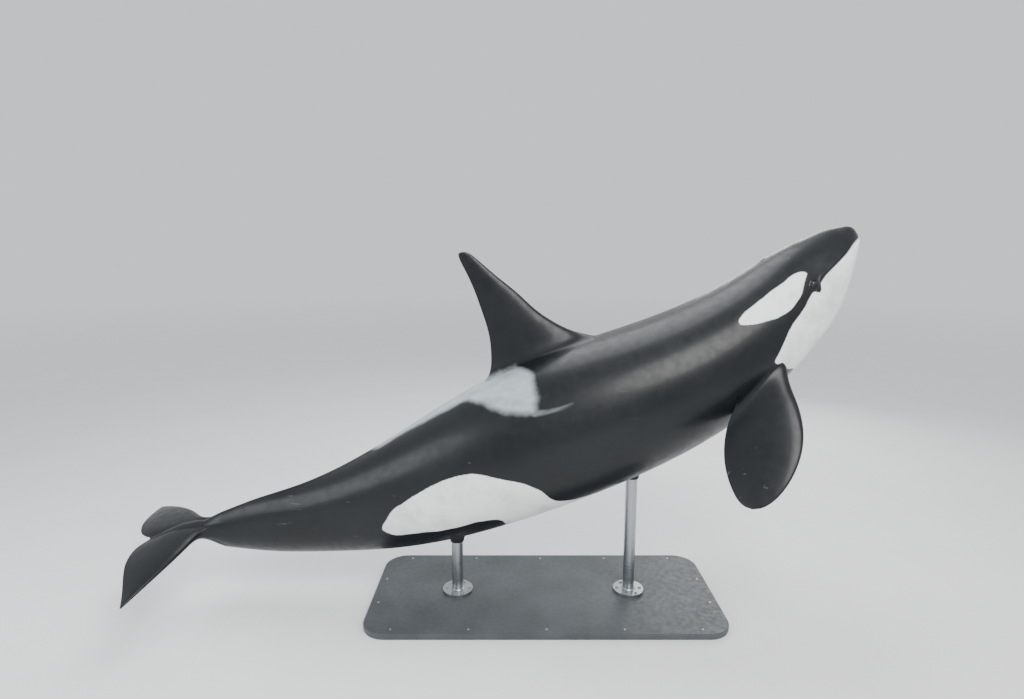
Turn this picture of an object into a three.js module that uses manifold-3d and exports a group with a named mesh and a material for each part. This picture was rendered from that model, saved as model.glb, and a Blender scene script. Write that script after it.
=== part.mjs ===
// A life-size orca, swimming upwards with its mouth shut, held over a flat base by two short steel rods.
// Millimetres, +Z up. The animal heads towards +X and its right side faces -Y.
// The origin is the middle of the base's underside, on the floor.
import * as THREE from 'three';
import * as BufferGeometryUtils from 'three/addons/utils/BufferGeometryUtils.js';
import Module from 'manifold-3d';

const wasm = await Module();
wasm.setup();

const radians = THREE.MathUtils.degToRad;
const { lerp, smoothstep, clamp } = THREE.MathUtils;

// Driving dimensions of the body. A station is a share of the length, from the snout's tip to the tail.
const LENGTH = 5800;
const SNOUT_TIP = new THREE.Vector3(2265, 0, 2840);
const GAP = 0.3;

// How steeply the body climbs at each station, in degrees.
const CLIMB_STATIONS = [0, 0.12, 0.25, 0.38, 0.5, 0.62, 0.75, 0.88, 1];
const CLIMB = [48.1, 39.3, 30.6, 25.5, 24.6, 22.5, 16, 6.6, -5];
// The back leans away from -Y by this, and the tail turns the other way as it reaches the flukes.
const BODY_LEAN = -3;
const TAIL_TWIST = 13;
const TAIL_YAW = 17;
const TWIST_START = 0.6;
const YAW_START = 0.86;
const TAIL_TURNED = 0.98;
// The power that shapes a section's sides: under 1 is full, and over 1 is drawn in to a keel.
const BODY_KEEL = 0.94;
const TAIL_KEEL = 1.3;
const KEEL_START = 0.6;
const KEEL_END = 0.9;

// Heights of the back over the spine line and the belly under it, and half the width, as shares of LENGTH.
const STATIONS = [
  0, 0.01, 0.04, 0.09, 0.16, 0.25, 0.36,
  0.48, 0.6, 0.71, 0.81, 0.89, 0.95, 1,
];
const BACK = [
  0, 0.0278, 0.0424, 0.0572, 0.0642, 0.0744, 0.0898,
  0.0985, 0.0856, 0.0655, 0.0488, 0.0368, 0.0201, 0.005,
];
const BELLY = [
  0, 0.006, 0.0255, 0.0537, 0.0727, 0.0908, 0.0975,
  0.0955, 0.0861, 0.0704, 0.0512, 0.037, 0.02, 0.005,
];
const WIDTH = [
  0, 0.023, 0.0405, 0.0575, 0.0755, 0.0905, 0.0975,
  0.0935, 0.0745, 0.0505, 0.0315, 0.02, 0.014, 0.007,
];

// Where thin flat cuts part the body into named lengths.
const HEAD_END = 0.15;
const CHEST_END = 0.31;
const TRUNK_END = 0.53;
const LOIN_END = 0.72;
const STOCK_END = 0.985;
const RING_POINTS = 32;

// The mouth: its corner's station, how far the line lies over the spine line, and the jaw's rear face.
const MOUTH_CORNER = 0.089;
const MOUTH_LIFT = 30;
const MOUTH_LIFTED = 0.02;
const JAW_REAR_SLANT = 0.03;
const JAW_CUT_REACH = 900;
const JAW_CUT_OVERLAP = 0.02;
const MOUTH_STEPS = 8;

// The eyes lie just behind and over the mouth's corners.
const EYE_STATION = 0.0945;
const EYE_ANGLE = 12;
const EYE_RADIUS = 26;
const EYE_DEPTH = 17;

// The dorsal fin stands on the back. Its outline is read up the fin, in shares of its height.
const DORSAL_STATION = 0.5;
const DORSAL_BASE = 550;
const DORSAL_HEIGHT = 965;
const DORSAL_ROOT_DEPTH = 170;
const DORSAL_ROWS = [0, 0.07, 0.17, 0.32, 0.51, 0.69, 0.86, 0.95, 1];
const DORSAL_LEADING = [800, 700, 615, 520, 438, 352, 275, 232, 168];
const DORSAL_TRAILING = [-35, 5, 50, 98, 125, 140, 140, 137, 150];
const DORSAL_THICKNESS = [150, 122, 104, 84, 66, 50, 34, 22, 10];

// The flippers: where each root is, how the blade hangs, and its outline in shares of the blade's length.
const FLIPPER_STATION = 0.198;
const FLIPPER_ANGLE = -38;
const FLIPPER_LENGTH = 915;
const FLIPPER_SWEEP = 42;
const FLIPPER_DROP = 50;
const FLIPPER_TURN = 8;
const FLIPPER_ROOT_DEPTH = 150;
const FLIPPER_ROWS = [0, 0.2, 0.45, 0.7, 0.88, 0.97, 1];
const FLIPPER_LEADING = [100, 182, 232, 200, 122, 44, -34];
const FLIPPER_TRAILING = [-170, -226, -260, -238, -171, -108, -34];
const FLIPPER_THICKNESS = [120, 104, 78, 52, 32, 16, 8];

// The flukes: where they grow out of the tail stock, and their outline from the midline out to the tip.
const FLUKE_STATION = 0.952;
const FLUKE_LIFT = 50;
const FLUKE_PITCH = 8;
const FLUKE_ROLL = 8;
const FLUKE_HALF_SPAN = 650;
const FLUKE_SWEEP = 440;
const FLUKE_CHORD = 430;
const FLUKE_LOBE = 85;
const FLUKE_NOTCH = 45;
const FLUKE_NOTCH_WIDTH = 45;
const FLUKE_TIP_CHORD = 12;
const FLUKE_LEADING_CURVE = 1.62;
const FLUKE_DROOP = 95;
const FLUKE_DROOP_CURVE = 2.5;
const FLUKE_THICKNESS = 96;
const FLUKE_TIP_THICKNESS = 8;

// The display stand.
const BASE_LENGTH = 2700;
const BASE_WIDTH = 1150;
const BASE_THICKNESS = 45;
const BASE_CORNER = 180;
const BASE_EDGE = 6;
const ROD_RADIUS = 45;
const ROD_STATIONS = { stand_rod_front: 0.34, stand_rod_rear: 0.6 };
const FOOT_RADIUS = 120;
const FOOT_THICKNESS = 24;
const ROD_SEGMENTS = 32;

// Colours and finishes.
const blackSkin = { color: 0x14181c, roughness: 0.42, metalness: 0 };
const finSkin = { color: 0x101418, roughness: 0.45, metalness: 0 };
const whiteSkin = { color: 0xdfe6e8, roughness: 0.45, metalness: 0 };
const eyeSurface = { color: 0x1c120c, roughness: 0.08, metalness: 0 };
const paintedBase = { color: 0x3a3f43, roughness: 0.5, metalness: 0.2 };
const brushedSteel = { color: 0x9da2a6, roughness: 0.35, metalness: 1 };

// A natural cubic spline through (xs, ys), by the usual tridiagonal sweep.
function spline(xs, ys) {
  const last = xs.length - 1;
  const curve = new Array(last + 1).fill(0);
  const share = new Array(last + 1).fill(0);
  for (let i = 1; i < last; i++) {
    const before = xs[i] - xs[i - 1];
    const after = xs[i + 1] - xs[i];
    const bend = (ys[i + 1] - ys[i]) / after - (ys[i] - ys[i - 1]) / before;
    const pivot = 2 * (before + after) - before * share[i - 1];
    share[i] = after / pivot;
    curve[i] = (6 * bend - before * curve[i - 1]) / pivot;
  }
  for (let i = last - 1; i > 0; i--) {
    curve[i] -= share[i] * curve[i + 1];
  }
  return (x) => {
    let i = 0;
    while (i < last - 1 && x > xs[i + 1]) i++;
    const h = xs[i + 1] - xs[i];
    const a = (xs[i + 1] - x) / h;
    const b = (x - xs[i]) / h;
    const bow = ((a ** 3 - a) * curve[i] + (b ** 3 - b) * curve[i + 1]) * h * h / 6;
    return a * ys[i] + b * ys[i + 1] + bow;
  };
}

// The profiles are splined over the root of the station, which rounds the snout.
const roots = STATIONS.map(Math.sqrt);
const back = spline(roots, BACK);
const belly = spline(roots, BELLY);
const width = spline(roots, WIDTH);
const climb = spline(CLIMB_STATIONS, CLIMB);

// The spine's axes at a station: ahead, up and to the animal's left.
function axesAt(station) {
  const pitch = radians(climb(station));
  const yaw = radians(TAIL_YAW * smoothstep(station, YAW_START, TAIL_TURNED));
  const lean = radians(BODY_LEAN + TAIL_TWIST * smoothstep(station, TWIST_START, TAIL_TURNED));
  const ahead = new THREE.Vector3(
    Math.cos(pitch) * Math.cos(yaw), Math.cos(pitch) * Math.sin(yaw), Math.sin(pitch));
  const level = new THREE.Vector3(-Math.sin(yaw), Math.cos(yaw), 0);
  const raised = new THREE.Vector3().crossVectors(ahead, level);
  const left = level.clone().multiplyScalar(Math.cos(lean)).addScaledVector(raised, Math.sin(lean));
  const up = new THREE.Vector3().crossVectors(ahead, left);
  return { ahead, left, up };
}

// The spine line, added up in short steps back from the snout's tip.
const SPINE_STEPS = 500;
const spineSteps = [SNOUT_TIP.clone()];
for (let i = 0; i < SPINE_STEPS; i++) {
  const { ahead } = axesAt((i + 0.5) / SPINE_STEPS);
  spineSteps.push(spineSteps[i].clone().addScaledVector(ahead, -LENGTH / SPINE_STEPS));
}

function spineAt(station) {
  const place = clamp(station, 0, 1) * SPINE_STEPS;
  const step = Math.min(Math.floor(place), SPINE_STEPS - 1);
  return spineSteps[step].clone().lerp(spineSteps[step + 1], place - step);
}

// A point on the body's surface. The angle is 0 at the right side, 90 on the back and -90 on the belly.
// The tail stock is keeled: its section narrows towards the back and the belly.
function bodyPoint(station, angle, grow = 0) {
  const { left, up } = axesAt(station);
  const root = Math.sqrt(station);
  const turn = radians(angle);
  const keel = lerp(BODY_KEEL, TAIL_KEEL, smoothstep(station, KEEL_START, KEEL_END));
  const side = width(root) * LENGTH + grow;
  const rise = (Math.sin(turn) > 0 ? back(root) : belly(root)) * LENGTH + grow;
  const across = Math.sign(Math.cos(turn)) * Math.abs(Math.cos(turn)) ** keel;
  return spineAt(station)
    .addScaledVector(left, -side * across)
    .addScaledVector(up, rise * Math.sin(turn));
}

// Closes a stack of rings into one solid. Each end is a fan about the middle of its ring.
function loft(rings) {
  const around = rings[0].length;
  const points = rings.flat();
  const triangles = [];
  for (let r = 0; r < rings.length - 1; r++) {
    for (let k = 0; k < around; k++) {
      const next = (k + 1) % around;
      const a = r * around + k;
      const b = r * around + next;
      triangles.push(a, b, b + around, a, b + around, a + around);
    }
  }
  for (const [ring, start, flip] of [[rings[0], 0, true], [rings.at(-1), points.length - around, false]]) {
    const middle = points.length;
    points.push(ring.reduce((sum, p) => sum.add(p), new THREE.Vector3()).divideScalar(around));
    for (let k = 0; k < around; k++) {
      const a = start + k;
      const b = start + (k + 1) % around;
      triangles.push(...(flip ? [middle, b, a] : [middle, a, b]));
    }
  }
  return outward(new THREE.BufferGeometry().setFromPoints(points).setIndex(triangles));
}

// Turns every face round if the solid's volume comes out negative.
function outward(geometry) {
  const at = geometry.attributes.position;
  const index = geometry.index.array;
  const [a, b, c] = [new THREE.Vector3(), new THREE.Vector3(), new THREE.Vector3()];
  let volume = 0;
  for (let i = 0; i < index.length; i += 3) {
    a.fromBufferAttribute(at, index[i]);
    b.fromBufferAttribute(at, index[i + 1]);
    c.fromBufferAttribute(at, index[i + 2]);
    volume += a.dot(b.cross(c));
  }
  if (volume < 0) {
    for (let i = 0; i < index.length; i += 3) {
      [index[i], index[i + 1]] = [index[i + 1], index[i]];
    }
  }
  return geometry;
}

function toSolid(geometry) {
  const bare = geometry.clone();
  bare.deleteAttribute('normal');
  bare.deleteAttribute('uv');
  const merged = outward(BufferGeometryUtils.mergeVertices(bare, 1e-3));
  return new wasm.Manifold(new wasm.Mesh({
    numProp: 3,
    vertProperties: new Float32Array(merged.attributes.position.array),
    triVerts: new Uint32Array(merged.index.array),
  }));
}

function toGeometry(solid) {
  const mesh = solid.getMesh();
  const geometry = new THREE.BufferGeometry();
  geometry.setAttribute('position', new THREE.BufferAttribute(new Float32Array(mesh.vertProperties), 3));
  geometry.setIndex(new THREE.BufferAttribute(new Uint32Array(mesh.triVerts), 1));
  return geometry;
}

// The stations of the rings between two stations, closest together at the snout.
const RING_STEP = 0.026;
const FIRST_RING = 0.0312;
const RING_CLEARANCE = 0.002;
function ringStations(from, to) {
  const inner = [];
  for (let root = FIRST_RING; root < 1; root += RING_STEP) {
    const station = root * root;
    if (station > from + RING_CLEARANCE && station < to - RING_CLEARANCE) inner.push(station);
  }
  return [from, ...inner, to];
}

// What is left of a solid outside the body that it joins.
function cutByBody(geometry, wholeBody) {
  return toGeometry(toSolid(geometry).subtract(wholeBody));
}

// A length of the body, with flat ends square to the spine line.
const SNOUT_START = 0.0002;
function bodyLength(from, to, grow = 0) {
  return loft(ringStations(from, to).map((station) =>
    Array.from({ length: RING_POINTS }, (_, k) => bodyPoint(station, k * 360 / RING_POINTS, grow))));
}

// Half the gap, as a share of the length, keeps two neighbouring lengths apart.
const HALF_GAP = GAP / 2 / LENGTH;
function bodySection(from, to) {
  const start = from === 0 ? SNOUT_START : from + HALF_GAP;
  const end = to === STOCK_END ? to : to - HALF_GAP;
  return bodyLength(start, end);
}

// What cuts the lower jaw out of the head: all that lies under the mouth's line and ahead of its corner.
function jawCutter(clearance) {
  const outline = [];
  const lineAt = (station) => {
    const ahead = Math.max(0, -station) * LENGTH;
    const axes = axesAt(Math.max(station, 0));
    const rise = MOUTH_LIFT * smoothstep(station, 0, MOUTH_LIFTED) + clearance;
    return spineAt(Math.max(station, 0)).addScaledVector(axes.ahead, ahead).addScaledVector(axes.up, rise);
  };
  const corner = MOUTH_CORNER + clearance / LENGTH;
  for (let i = 0; i <= MOUTH_STEPS; i++) {
    outline.push(lineAt(lerp(-JAW_CUT_OVERLAP, corner, i / MOUTH_STEPS)));
  }
  const heel = spineAt(corner + JAW_REAR_SLANT).addScaledVector(axesAt(corner).up, -JAW_CUT_REACH);
  const nose = axesAt(0);
  const toe = spineAt(0)
    .addScaledVector(nose.up, -JAW_CUT_REACH)
    .addScaledVector(nose.ahead, JAW_CUT_OVERLAP * LENGTH);
  outline.push(heel, toe);
  const shape = new THREE.Shape(outline.map((p) => new THREE.Vector2(p.x, p.z)));
  const geometry = new THREE.ExtrudeGeometry(shape, { depth: 2 * JAW_CUT_REACH, bevelEnabled: false });
  return geometry.rotateX(Math.PI / 2).translate(0, JAW_CUT_REACH, 0);
}

// An eyeball, set into the head's side. side is 1 for the right eye and -1 for the left one.
function eyeBall(side, grow = 0) {
  const angle = side > 0 ? EYE_ANGLE : 180 - EYE_ANGLE;
  const place = bodyPoint(EYE_STATION, angle);
  const inward = spineAt(EYE_STATION).sub(place).normalize();
  place.addScaledVector(inward, EYE_DEPTH);
  return new THREE.SphereGeometry(EYE_RADIUS + grow, 20, 12).translate(place.x, place.y, place.z);
}

// The head and the lower jaw, cut apart along the mouth, with a socket for each eye.
function headPieces() {
  const whole = toSolid(bodySection(0, HEAD_END));
  const jaw = whole.intersect(toSolid(jawCutter(-GAP / 2)));
  let head = whole.subtract(toSolid(jawCutter(GAP / 2)));
  for (const side of [1, -1]) {
    head = head.subtract(toSolid(eyeBall(side, GAP)));
  }
  return { head: toGeometry(head), jaw: toGeometry(jaw) };
}

// Half the section of a fin over its chord: round in front, thickest a third back, thin behind.
const NOSE_ROUND = 3.06;
const REAR_FULLNESS = 0.824;
const THIN_EDGE = 0.04;
function finHalf(share) {
  const bulge = NOSE_ROUND * (Math.sqrt(share) - share) + REAR_FULLNESS * share * (1 - share);
  return Math.max(THIN_EDGE, bulge);
}

// A fin's closed section. place takes the distance along the chord and the distance to one side.
const FIN_SIDE_POINTS = 9;
function finRing(leading, trailing, thickness, place) {
  const ring = [];
  for (let k = 0; k <= FIN_SIDE_POINTS; k++) {
    const share = 0.5 - 0.5 * Math.cos(Math.PI * k / FIN_SIDE_POINTS);
    ring.push(place(lerp(leading, trailing, share), finHalf(share) * thickness / 2));
  }
  for (let k = FIN_SIDE_POINTS; k >= 0; k--) {
    const share = 0.5 - 0.5 * Math.cos(Math.PI * k / FIN_SIDE_POINTS);
    ring.push(place(lerp(leading, trailing, share), -finHalf(share) * thickness / 2));
  }
  return ring;
}

// Shares along a fin from root to tip, closest together at the round tip.
const FIN_ROWS = 11;
const finShares = Array.from({ length: FIN_ROWS }, (_, i) => Math.sin(Math.PI / 2 * i / (FIN_ROWS - 1)));

// A fin's outline against the share of its length. It is drawn over the arcsine, so that the tip is round.
function outlineCurve(rows, values) {
  const curve = spline(rows.map(Math.asin), values);
  return (share) => curve(Math.asin(share));
}

// The dorsal fin, with a root that runs down inside the back.
function dorsalFin() {
  const { ahead, left, up } = axesAt(DORSAL_STATION);
  const origin = spineAt(DORSAL_STATION);
  const leading = outlineCurve(DORSAL_ROWS, DORSAL_LEADING);
  const trailing = outlineCurve(DORSAL_ROWS, DORSAL_TRAILING);
  const thickness = outlineCurve(DORSAL_ROWS, DORSAL_THICKNESS);
  const ringAt = (share, height) => finRing(leading(share), trailing(share), thickness(share),
    (along, aside) => origin.clone()
      .addScaledVector(ahead, along).addScaledVector(up, height).addScaledVector(left, aside));
  const rings = finShares.map((share) => ringAt(share, DORSAL_BASE + share * DORSAL_HEIGHT));
  return loft([ringAt(0, DORSAL_BASE - DORSAL_ROOT_DEPTH), ...rings]);
}

// A flipper: its root, the way its blade points and its chord. side is 1 for the right one.
function flipperAxes(side) {
  const { ahead, left, up } = axesAt(FLIPPER_STATION);
  const angle = side > 0 ? FLIPPER_ANGLE : 180 - FLIPPER_ANGLE;
  const sweep = radians(FLIPPER_SWEEP);
  const drop = radians(FLIPPER_DROP);
  const along = ahead.clone().multiplyScalar(-Math.sin(sweep))
    .addScaledVector(left, -side * Math.cos(sweep) * Math.cos(drop))
    .addScaledVector(up, -Math.cos(sweep) * Math.sin(drop));
  const flat = ahead.clone().addScaledVector(along, -ahead.dot(along)).normalize();
  const face = new THREE.Vector3().crossVectors(along, flat);
  const turn = side * radians(FLIPPER_TURN);
  const chord = flat.multiplyScalar(Math.cos(turn)).addScaledVector(face, Math.sin(turn));
  return { root: bodyPoint(FLIPPER_STATION, angle), along, chord, face: face.crossVectors(along, chord) };
}

function flipper(side) {
  const { root, along, chord, face } = flipperAxes(side);
  const leading = outlineCurve(FLIPPER_ROWS, FLIPPER_LEADING);
  const trailing = outlineCurve(FLIPPER_ROWS, FLIPPER_TRAILING);
  const thickness = outlineCurve(FLIPPER_ROWS, FLIPPER_THICKNESS);
  const ringAt = (share, reach) => finRing(leading(share), trailing(share), thickness(share),
    (over, aside) => root.clone()
      .addScaledVector(along, reach).addScaledVector(chord, over).addScaledVector(face, aside));
  const rings = finShares.map((share) => ringAt(share, share * FLIPPER_LENGTH));
  return loft([ringAt(0, -FLIPPER_ROOT_DEPTH), ...rings]);
}

// The flukes' own axes at the end of the tail stock.
function flukeAxes() {
  const pitch = radians(FLUKE_PITCH);
  const yaw = radians(TAIL_YAW);
  const roll = radians(FLUKE_ROLL);
  const aft = new THREE.Vector3(
    -Math.cos(pitch) * Math.cos(yaw), -Math.cos(pitch) * Math.sin(yaw), -Math.sin(pitch));
  const level = new THREE.Vector3(-Math.sin(yaw), Math.cos(yaw), 0);
  const raised = new THREE.Vector3().crossVectors(level, aft);
  const left = level.multiplyScalar(Math.cos(roll)).addScaledVector(raised, Math.sin(roll));
  return { aft, left, up: new THREE.Vector3().crossVectors(left, aft) };
}

// One fluke, out from the midline. The leading edge sweeps back and the trailing edge has the middle notch.
// Its first rings lie close together so that they follow the notch.
const NOTCH_SHARES = [0, 0.07, 0.14, 0.2];
const FLUKE_THINNING = 0.8;
function fluke(side) {
  const { aft, left, up } = flukeAxes();
  const origin = spineAt(FLUKE_STATION).addScaledVector(up, FLUKE_LIFT);
  const ringAt = (share) => {
    const out = Math.max(share * FLUKE_HALF_SPAN, GAP / 2);
    const leading = FLUKE_SWEEP * share ** FLUKE_LEADING_CURVE;
    const lobe = FLUKE_LOBE * Math.sin(Math.PI * share) * (1 - share);
    const notch = FLUKE_NOTCH * Math.exp(-((out / FLUKE_NOTCH_WIDTH) ** 2));
    const trailing = lerp(FLUKE_CHORD, FLUKE_SWEEP + FLUKE_TIP_CHORD, share) + lobe - notch;
    const thickness = FLUKE_THICKNESS * (1 - share) ** FLUKE_THINNING + FLUKE_TIP_THICKNESS;
    return finRing(leading, trailing, thickness, (along, aside) => origin.clone()
      .addScaledVector(aft, along)
      .addScaledVector(left, -side * out)
      .addScaledVector(up, aside - FLUKE_DROOP * share ** FLUKE_DROOP_CURVE));
  };
  const outer = finShares.filter((share) => share > NOTCH_SHARES.at(-1));
  return loft([...NOTCH_SHARES, ...outer].map(ringAt));
}

// The base: a flat slab with round corners and a softened top edge.
function standBase() {
  const x = BASE_LENGTH / 2;
  const y = BASE_WIDTH / 2;
  const shape = new THREE.Shape();
  shape.absarc(x - BASE_CORNER, y - BASE_CORNER, BASE_CORNER, 0, Math.PI / 2);
  shape.absarc(BASE_CORNER - x, y - BASE_CORNER, BASE_CORNER, Math.PI / 2, Math.PI);
  shape.absarc(BASE_CORNER - x, BASE_CORNER - y, BASE_CORNER, Math.PI, Math.PI * 1.5);
  shape.absarc(x - BASE_CORNER, BASE_CORNER - y, BASE_CORNER, Math.PI * 1.5, Math.PI * 2);
  return new THREE.ExtrudeGeometry(shape, {
    depth: BASE_THICKNESS - 2 * BASE_EDGE,
    bevelThickness: BASE_EDGE,
    bevelSize: BASE_EDGE,
    bevelOffset: -BASE_EDGE,
    bevelSegments: 2,
    curveSegments: 8,
  }).translate(0, 0, BASE_EDGE);
}

// A rod on its round foot, cut off at the top by the belly that it carries.
function standRod(station, wholeBody) {
  const foot = BASE_THICKNESS + GAP;
  const top = spineAt(station);
  const profile = [
    new THREE.Vector2(0, foot),
    new THREE.Vector2(FOOT_RADIUS, foot),
    new THREE.Vector2(FOOT_RADIUS, foot + FOOT_THICKNESS),
    new THREE.Vector2(ROD_RADIUS, foot + FOOT_THICKNESS),
    new THREE.Vector2(ROD_RADIUS, top.z),
    new THREE.Vector2(0, top.z),
  ];
  const rod = new THREE.LatheGeometry(profile, ROD_SEGMENTS).rotateX(Math.PI / 2);
  rod.translate(top.x, top.y, 0);
  return cutByBody(rod, wholeBody);
}

// The finished model.
const model = new THREE.Group();

function add(name, geometry, finish) {
  const mesh = new THREE.Mesh(geometry, new THREE.MeshStandardMaterial(finish));
  mesh.name = name;
  model.add(mesh);
}

const wholeBody = toSolid(bodyLength(SNOUT_START, STOCK_END + GAP / LENGTH, GAP));

const { head, jaw } = headPieces();
add('head', head, blackSkin);
add('lower_jaw', jaw, whiteSkin);
add('chest', bodySection(HEAD_END, CHEST_END), blackSkin);
add('trunk', bodySection(CHEST_END, TRUNK_END), blackSkin);
add('loin', bodySection(TRUNK_END, LOIN_END), blackSkin);
add('tail_stock', bodySection(LOIN_END, STOCK_END), blackSkin);
add('dorsal_fin', cutByBody(dorsalFin(), wholeBody), finSkin);

for (const [sideName, side] of [['right', 1], ['left', -1]]) {
  add(`flipper_${sideName}`, cutByBody(flipper(side), wholeBody), finSkin);
  add(`fluke_${sideName}`, cutByBody(fluke(side), wholeBody), finSkin);
  add(`eye_${sideName}`, eyeBall(side), eyeSurface);
}

add('stand_base', standBase(), paintedBase);
for (const [name, station] of Object.entries(ROD_STATIONS)) {
  add(name, standRod(station, wholeBody), brushedSteel);
}

export default model;
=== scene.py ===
"""A life-size orca that climbs with its mouth shut, held over a flat base by two steel rods.

Lengths are worked out in millimetres and turned to metres when a mesh is finished.
+Z is up, the animal heads towards +X and its right side faces -Y.
A station is a share of the body's length from the snout's tip.
An angle goes round the body: 0 is the right side, 90 the back, 180 the left side and 270 the belly.
"""

import math

import bmesh
import bpy
import numpy as np
from bpy.props import FloatProperty, FloatVectorProperty, PointerProperty
from bpy.types import Operator, Panel, PropertyGroup
from mathutils import Matrix, Vector


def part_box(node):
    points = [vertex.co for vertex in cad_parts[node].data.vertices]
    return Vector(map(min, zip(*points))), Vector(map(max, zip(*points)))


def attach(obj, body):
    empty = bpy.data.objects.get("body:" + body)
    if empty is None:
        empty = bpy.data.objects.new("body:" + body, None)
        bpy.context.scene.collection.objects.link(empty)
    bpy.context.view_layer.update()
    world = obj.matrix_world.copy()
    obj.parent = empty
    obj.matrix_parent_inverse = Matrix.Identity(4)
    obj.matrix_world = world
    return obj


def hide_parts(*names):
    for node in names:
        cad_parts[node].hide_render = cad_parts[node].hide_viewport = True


bl_info = {
    "name": "Orca display model",
    "version": (1, 0, 0),
    "blender": (4, 5, 0),
    "location": "3D View > Sidebar > Orca",
    "description": "Models the skin, the eyes, the stand's fittings and the stage of a life-size orca",
    "category": "Add Mesh",
}

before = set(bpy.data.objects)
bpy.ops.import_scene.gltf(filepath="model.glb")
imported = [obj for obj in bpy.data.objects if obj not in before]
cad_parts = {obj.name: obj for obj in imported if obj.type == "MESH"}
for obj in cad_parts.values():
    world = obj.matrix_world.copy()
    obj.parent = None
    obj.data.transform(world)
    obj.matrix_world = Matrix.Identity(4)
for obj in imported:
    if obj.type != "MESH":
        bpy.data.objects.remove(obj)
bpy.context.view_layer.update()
FLESH_NODES = (
    "head", "lower_jaw", "chest", "trunk", "loin", "tail_stock", "dorsal_fin",
    "flipper_right", "flipper_left", "fluke_right", "fluke_left",
)
SIDES = (("right", 1), ("left", -1))
MM = 0.001

# The body line, with the same sizes as the solids.
LENGTH = 5800.0
SNOUT_TIP = (2265.0, 0.0, 2840.0)
CLIMB_STATIONS = (0, 0.12, 0.25, 0.38, 0.5, 0.62, 0.75, 0.88, 1)
CLIMB = (48.1, 39.3, 30.6, 25.5, 24.6, 22.5, 16, 6.6, -5)
BODY_LEAN = -3.0
TAIL_TWIST = 13.0
TAIL_YAW = 17.0
TWIST_START = 0.6
YAW_START = 0.86
TAIL_TURNED = 0.98
SPINE_STEPS = 500

# Rises of the back and the belly from the spine line, and half the width, as shares of the length.
STATIONS = (0, 0.01, 0.04, 0.09, 0.16, 0.25, 0.36, 0.48, 0.6, 0.71, 0.81, 0.89, 0.95, 1)
BACK = (
    0, 0.0278, 0.0424, 0.0572, 0.0642, 0.0744, 0.0898,
    0.0985, 0.0856, 0.0655, 0.0488, 0.0368, 0.0201, 0.005,
)
BELLY = (
    0, 0.006, 0.0255, 0.0537, 0.0727, 0.0908, 0.0975,
    0.0955, 0.0861, 0.0704, 0.0512, 0.037, 0.02, 0.005,
)
WIDTH = (
    0, 0.023, 0.0405, 0.0575, 0.0755, 0.0905, 0.0975,
    0.0935, 0.0745, 0.0505, 0.0315, 0.02, 0.014, 0.007,
)
BODY_KEEL = 0.94
TAIL_KEEL = 1.3
KEEL_START = 0.6
KEEL_END = 0.9
TAIL_FLATNESS = 0.35
FLAT_START = 0.935
FLAT_END = 0.985

# The dorsal fin.
DORSAL_STATION = 0.5
DORSAL_BASE = 550.0
DORSAL_HEIGHT = 965.0
DORSAL_ROWS = (0, 0.07, 0.17, 0.32, 0.51, 0.69, 0.86, 0.95, 1)
DORSAL_LEADING = (800, 700, 615, 520, 438, 352, 275, 232, 168)
DORSAL_TRAILING = (-35, 5, 50, 98, 125, 140, 140, 137, 150)
DORSAL_THICKNESS = (150, 122, 104, 84, 66, 50, 34, 22, 10)
DORSAL_PATCH = (0.353, 0.514)
DORSAL_ROOT_STATION = 0.44

# The flippers.
FLIPPER_STATION = 0.198
FLIPPER_ANGLE = -38.0
FLIPPER_LENGTH = 915.0
FLIPPER_SWEEP = 42.0
FLIPPER_DROP = 50.0
FLIPPER_TURN = 8.0
FLIPPER_ROWS = (0, 0.2, 0.45, 0.7, 0.88, 0.97, 1)
FLIPPER_LEADING = (100, 182, 232, 200, 122, 44, -34)
FLIPPER_TRAILING = (-170, -226, -260, -238, -171, -108, -34)
FLIPPER_THICKNESS = (120, 104, 78, 52, 32, 16, 8)
FLIPPER_PATCH = (0.181, 0.2405)

# The flukes.
FLUKE_STATION = 0.952
FLUKE_LIFT = 50.0
FLUKE_PITCH = 8.0
FLUKE_ROLL = 8.0
FLUKE_HALF_SPAN = 650.0
FLUKE_SWEEP = 440.0
FLUKE_CHORD = 430.0
FLUKE_LOBE = 85.0
FLUKE_NOTCH = 45.0
FLUKE_NOTCH_WIDTH = 45.0
FLUKE_TIP_CHORD = 12.0
FLUKE_LEADING_CURVE = 1.62
FLUKE_DROOP = 95.0
FLUKE_DROOP_CURVE = 2.5
FLUKE_THICKNESS = 96.0
FLUKE_TIP_THICKNESS = 8.0
FLUKE_THINNING = 0.8
FLUKE_ROOT_OUT = 52.0
FLUKE_PATCH_START = 0.924

# Where the tail stock turns into the middle of the flukes, and ends at their notch.
TAIL_BLEND_START = 0.925
TAIL_BLEND_END = 0.985
TAIL_TAPER_START = 0.975
TAIL_END = FLUKE_STATION + (FLUKE_CHORD - FLUKE_NOTCH) / LENGTH

# The mouth's line: its height over the spine line back to the corner.
MOUTH_STATIONS = (0, 0.0094, 0.0338, 0.0568, 0.0738, 0.0859, 0.0895)
MOUTH_HEIGHTS = (0, 24, 34, 42, 46, 34, 10)
MOUTH_CORNER = 0.0895

# The eyes, as in the solids.
EYE_STATION = 0.0945
EYE_ANGLE = 12.0
EYE_RADIUS = 26.0
EYE_DEPTH = 17.0

# The skin's grid. Columns crowd to the mouth's line, and rings lie closer on the head and flukes.
COLUMNS = 144
QUARTER = COLUMNS // 4
RING_GAP_STATIONS = (0, 0.01, 0.05, 0.12, 0.17, 0.25, 0.55, 0.75, 0.9, 0.95, 1.02)
RING_GAPS = (3.5, 5, 8, 10, 15, 20, 20, 24, 18, 12, 8)
CROWDING = 2.4
CROWDING_SPREAD = 0.15

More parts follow.
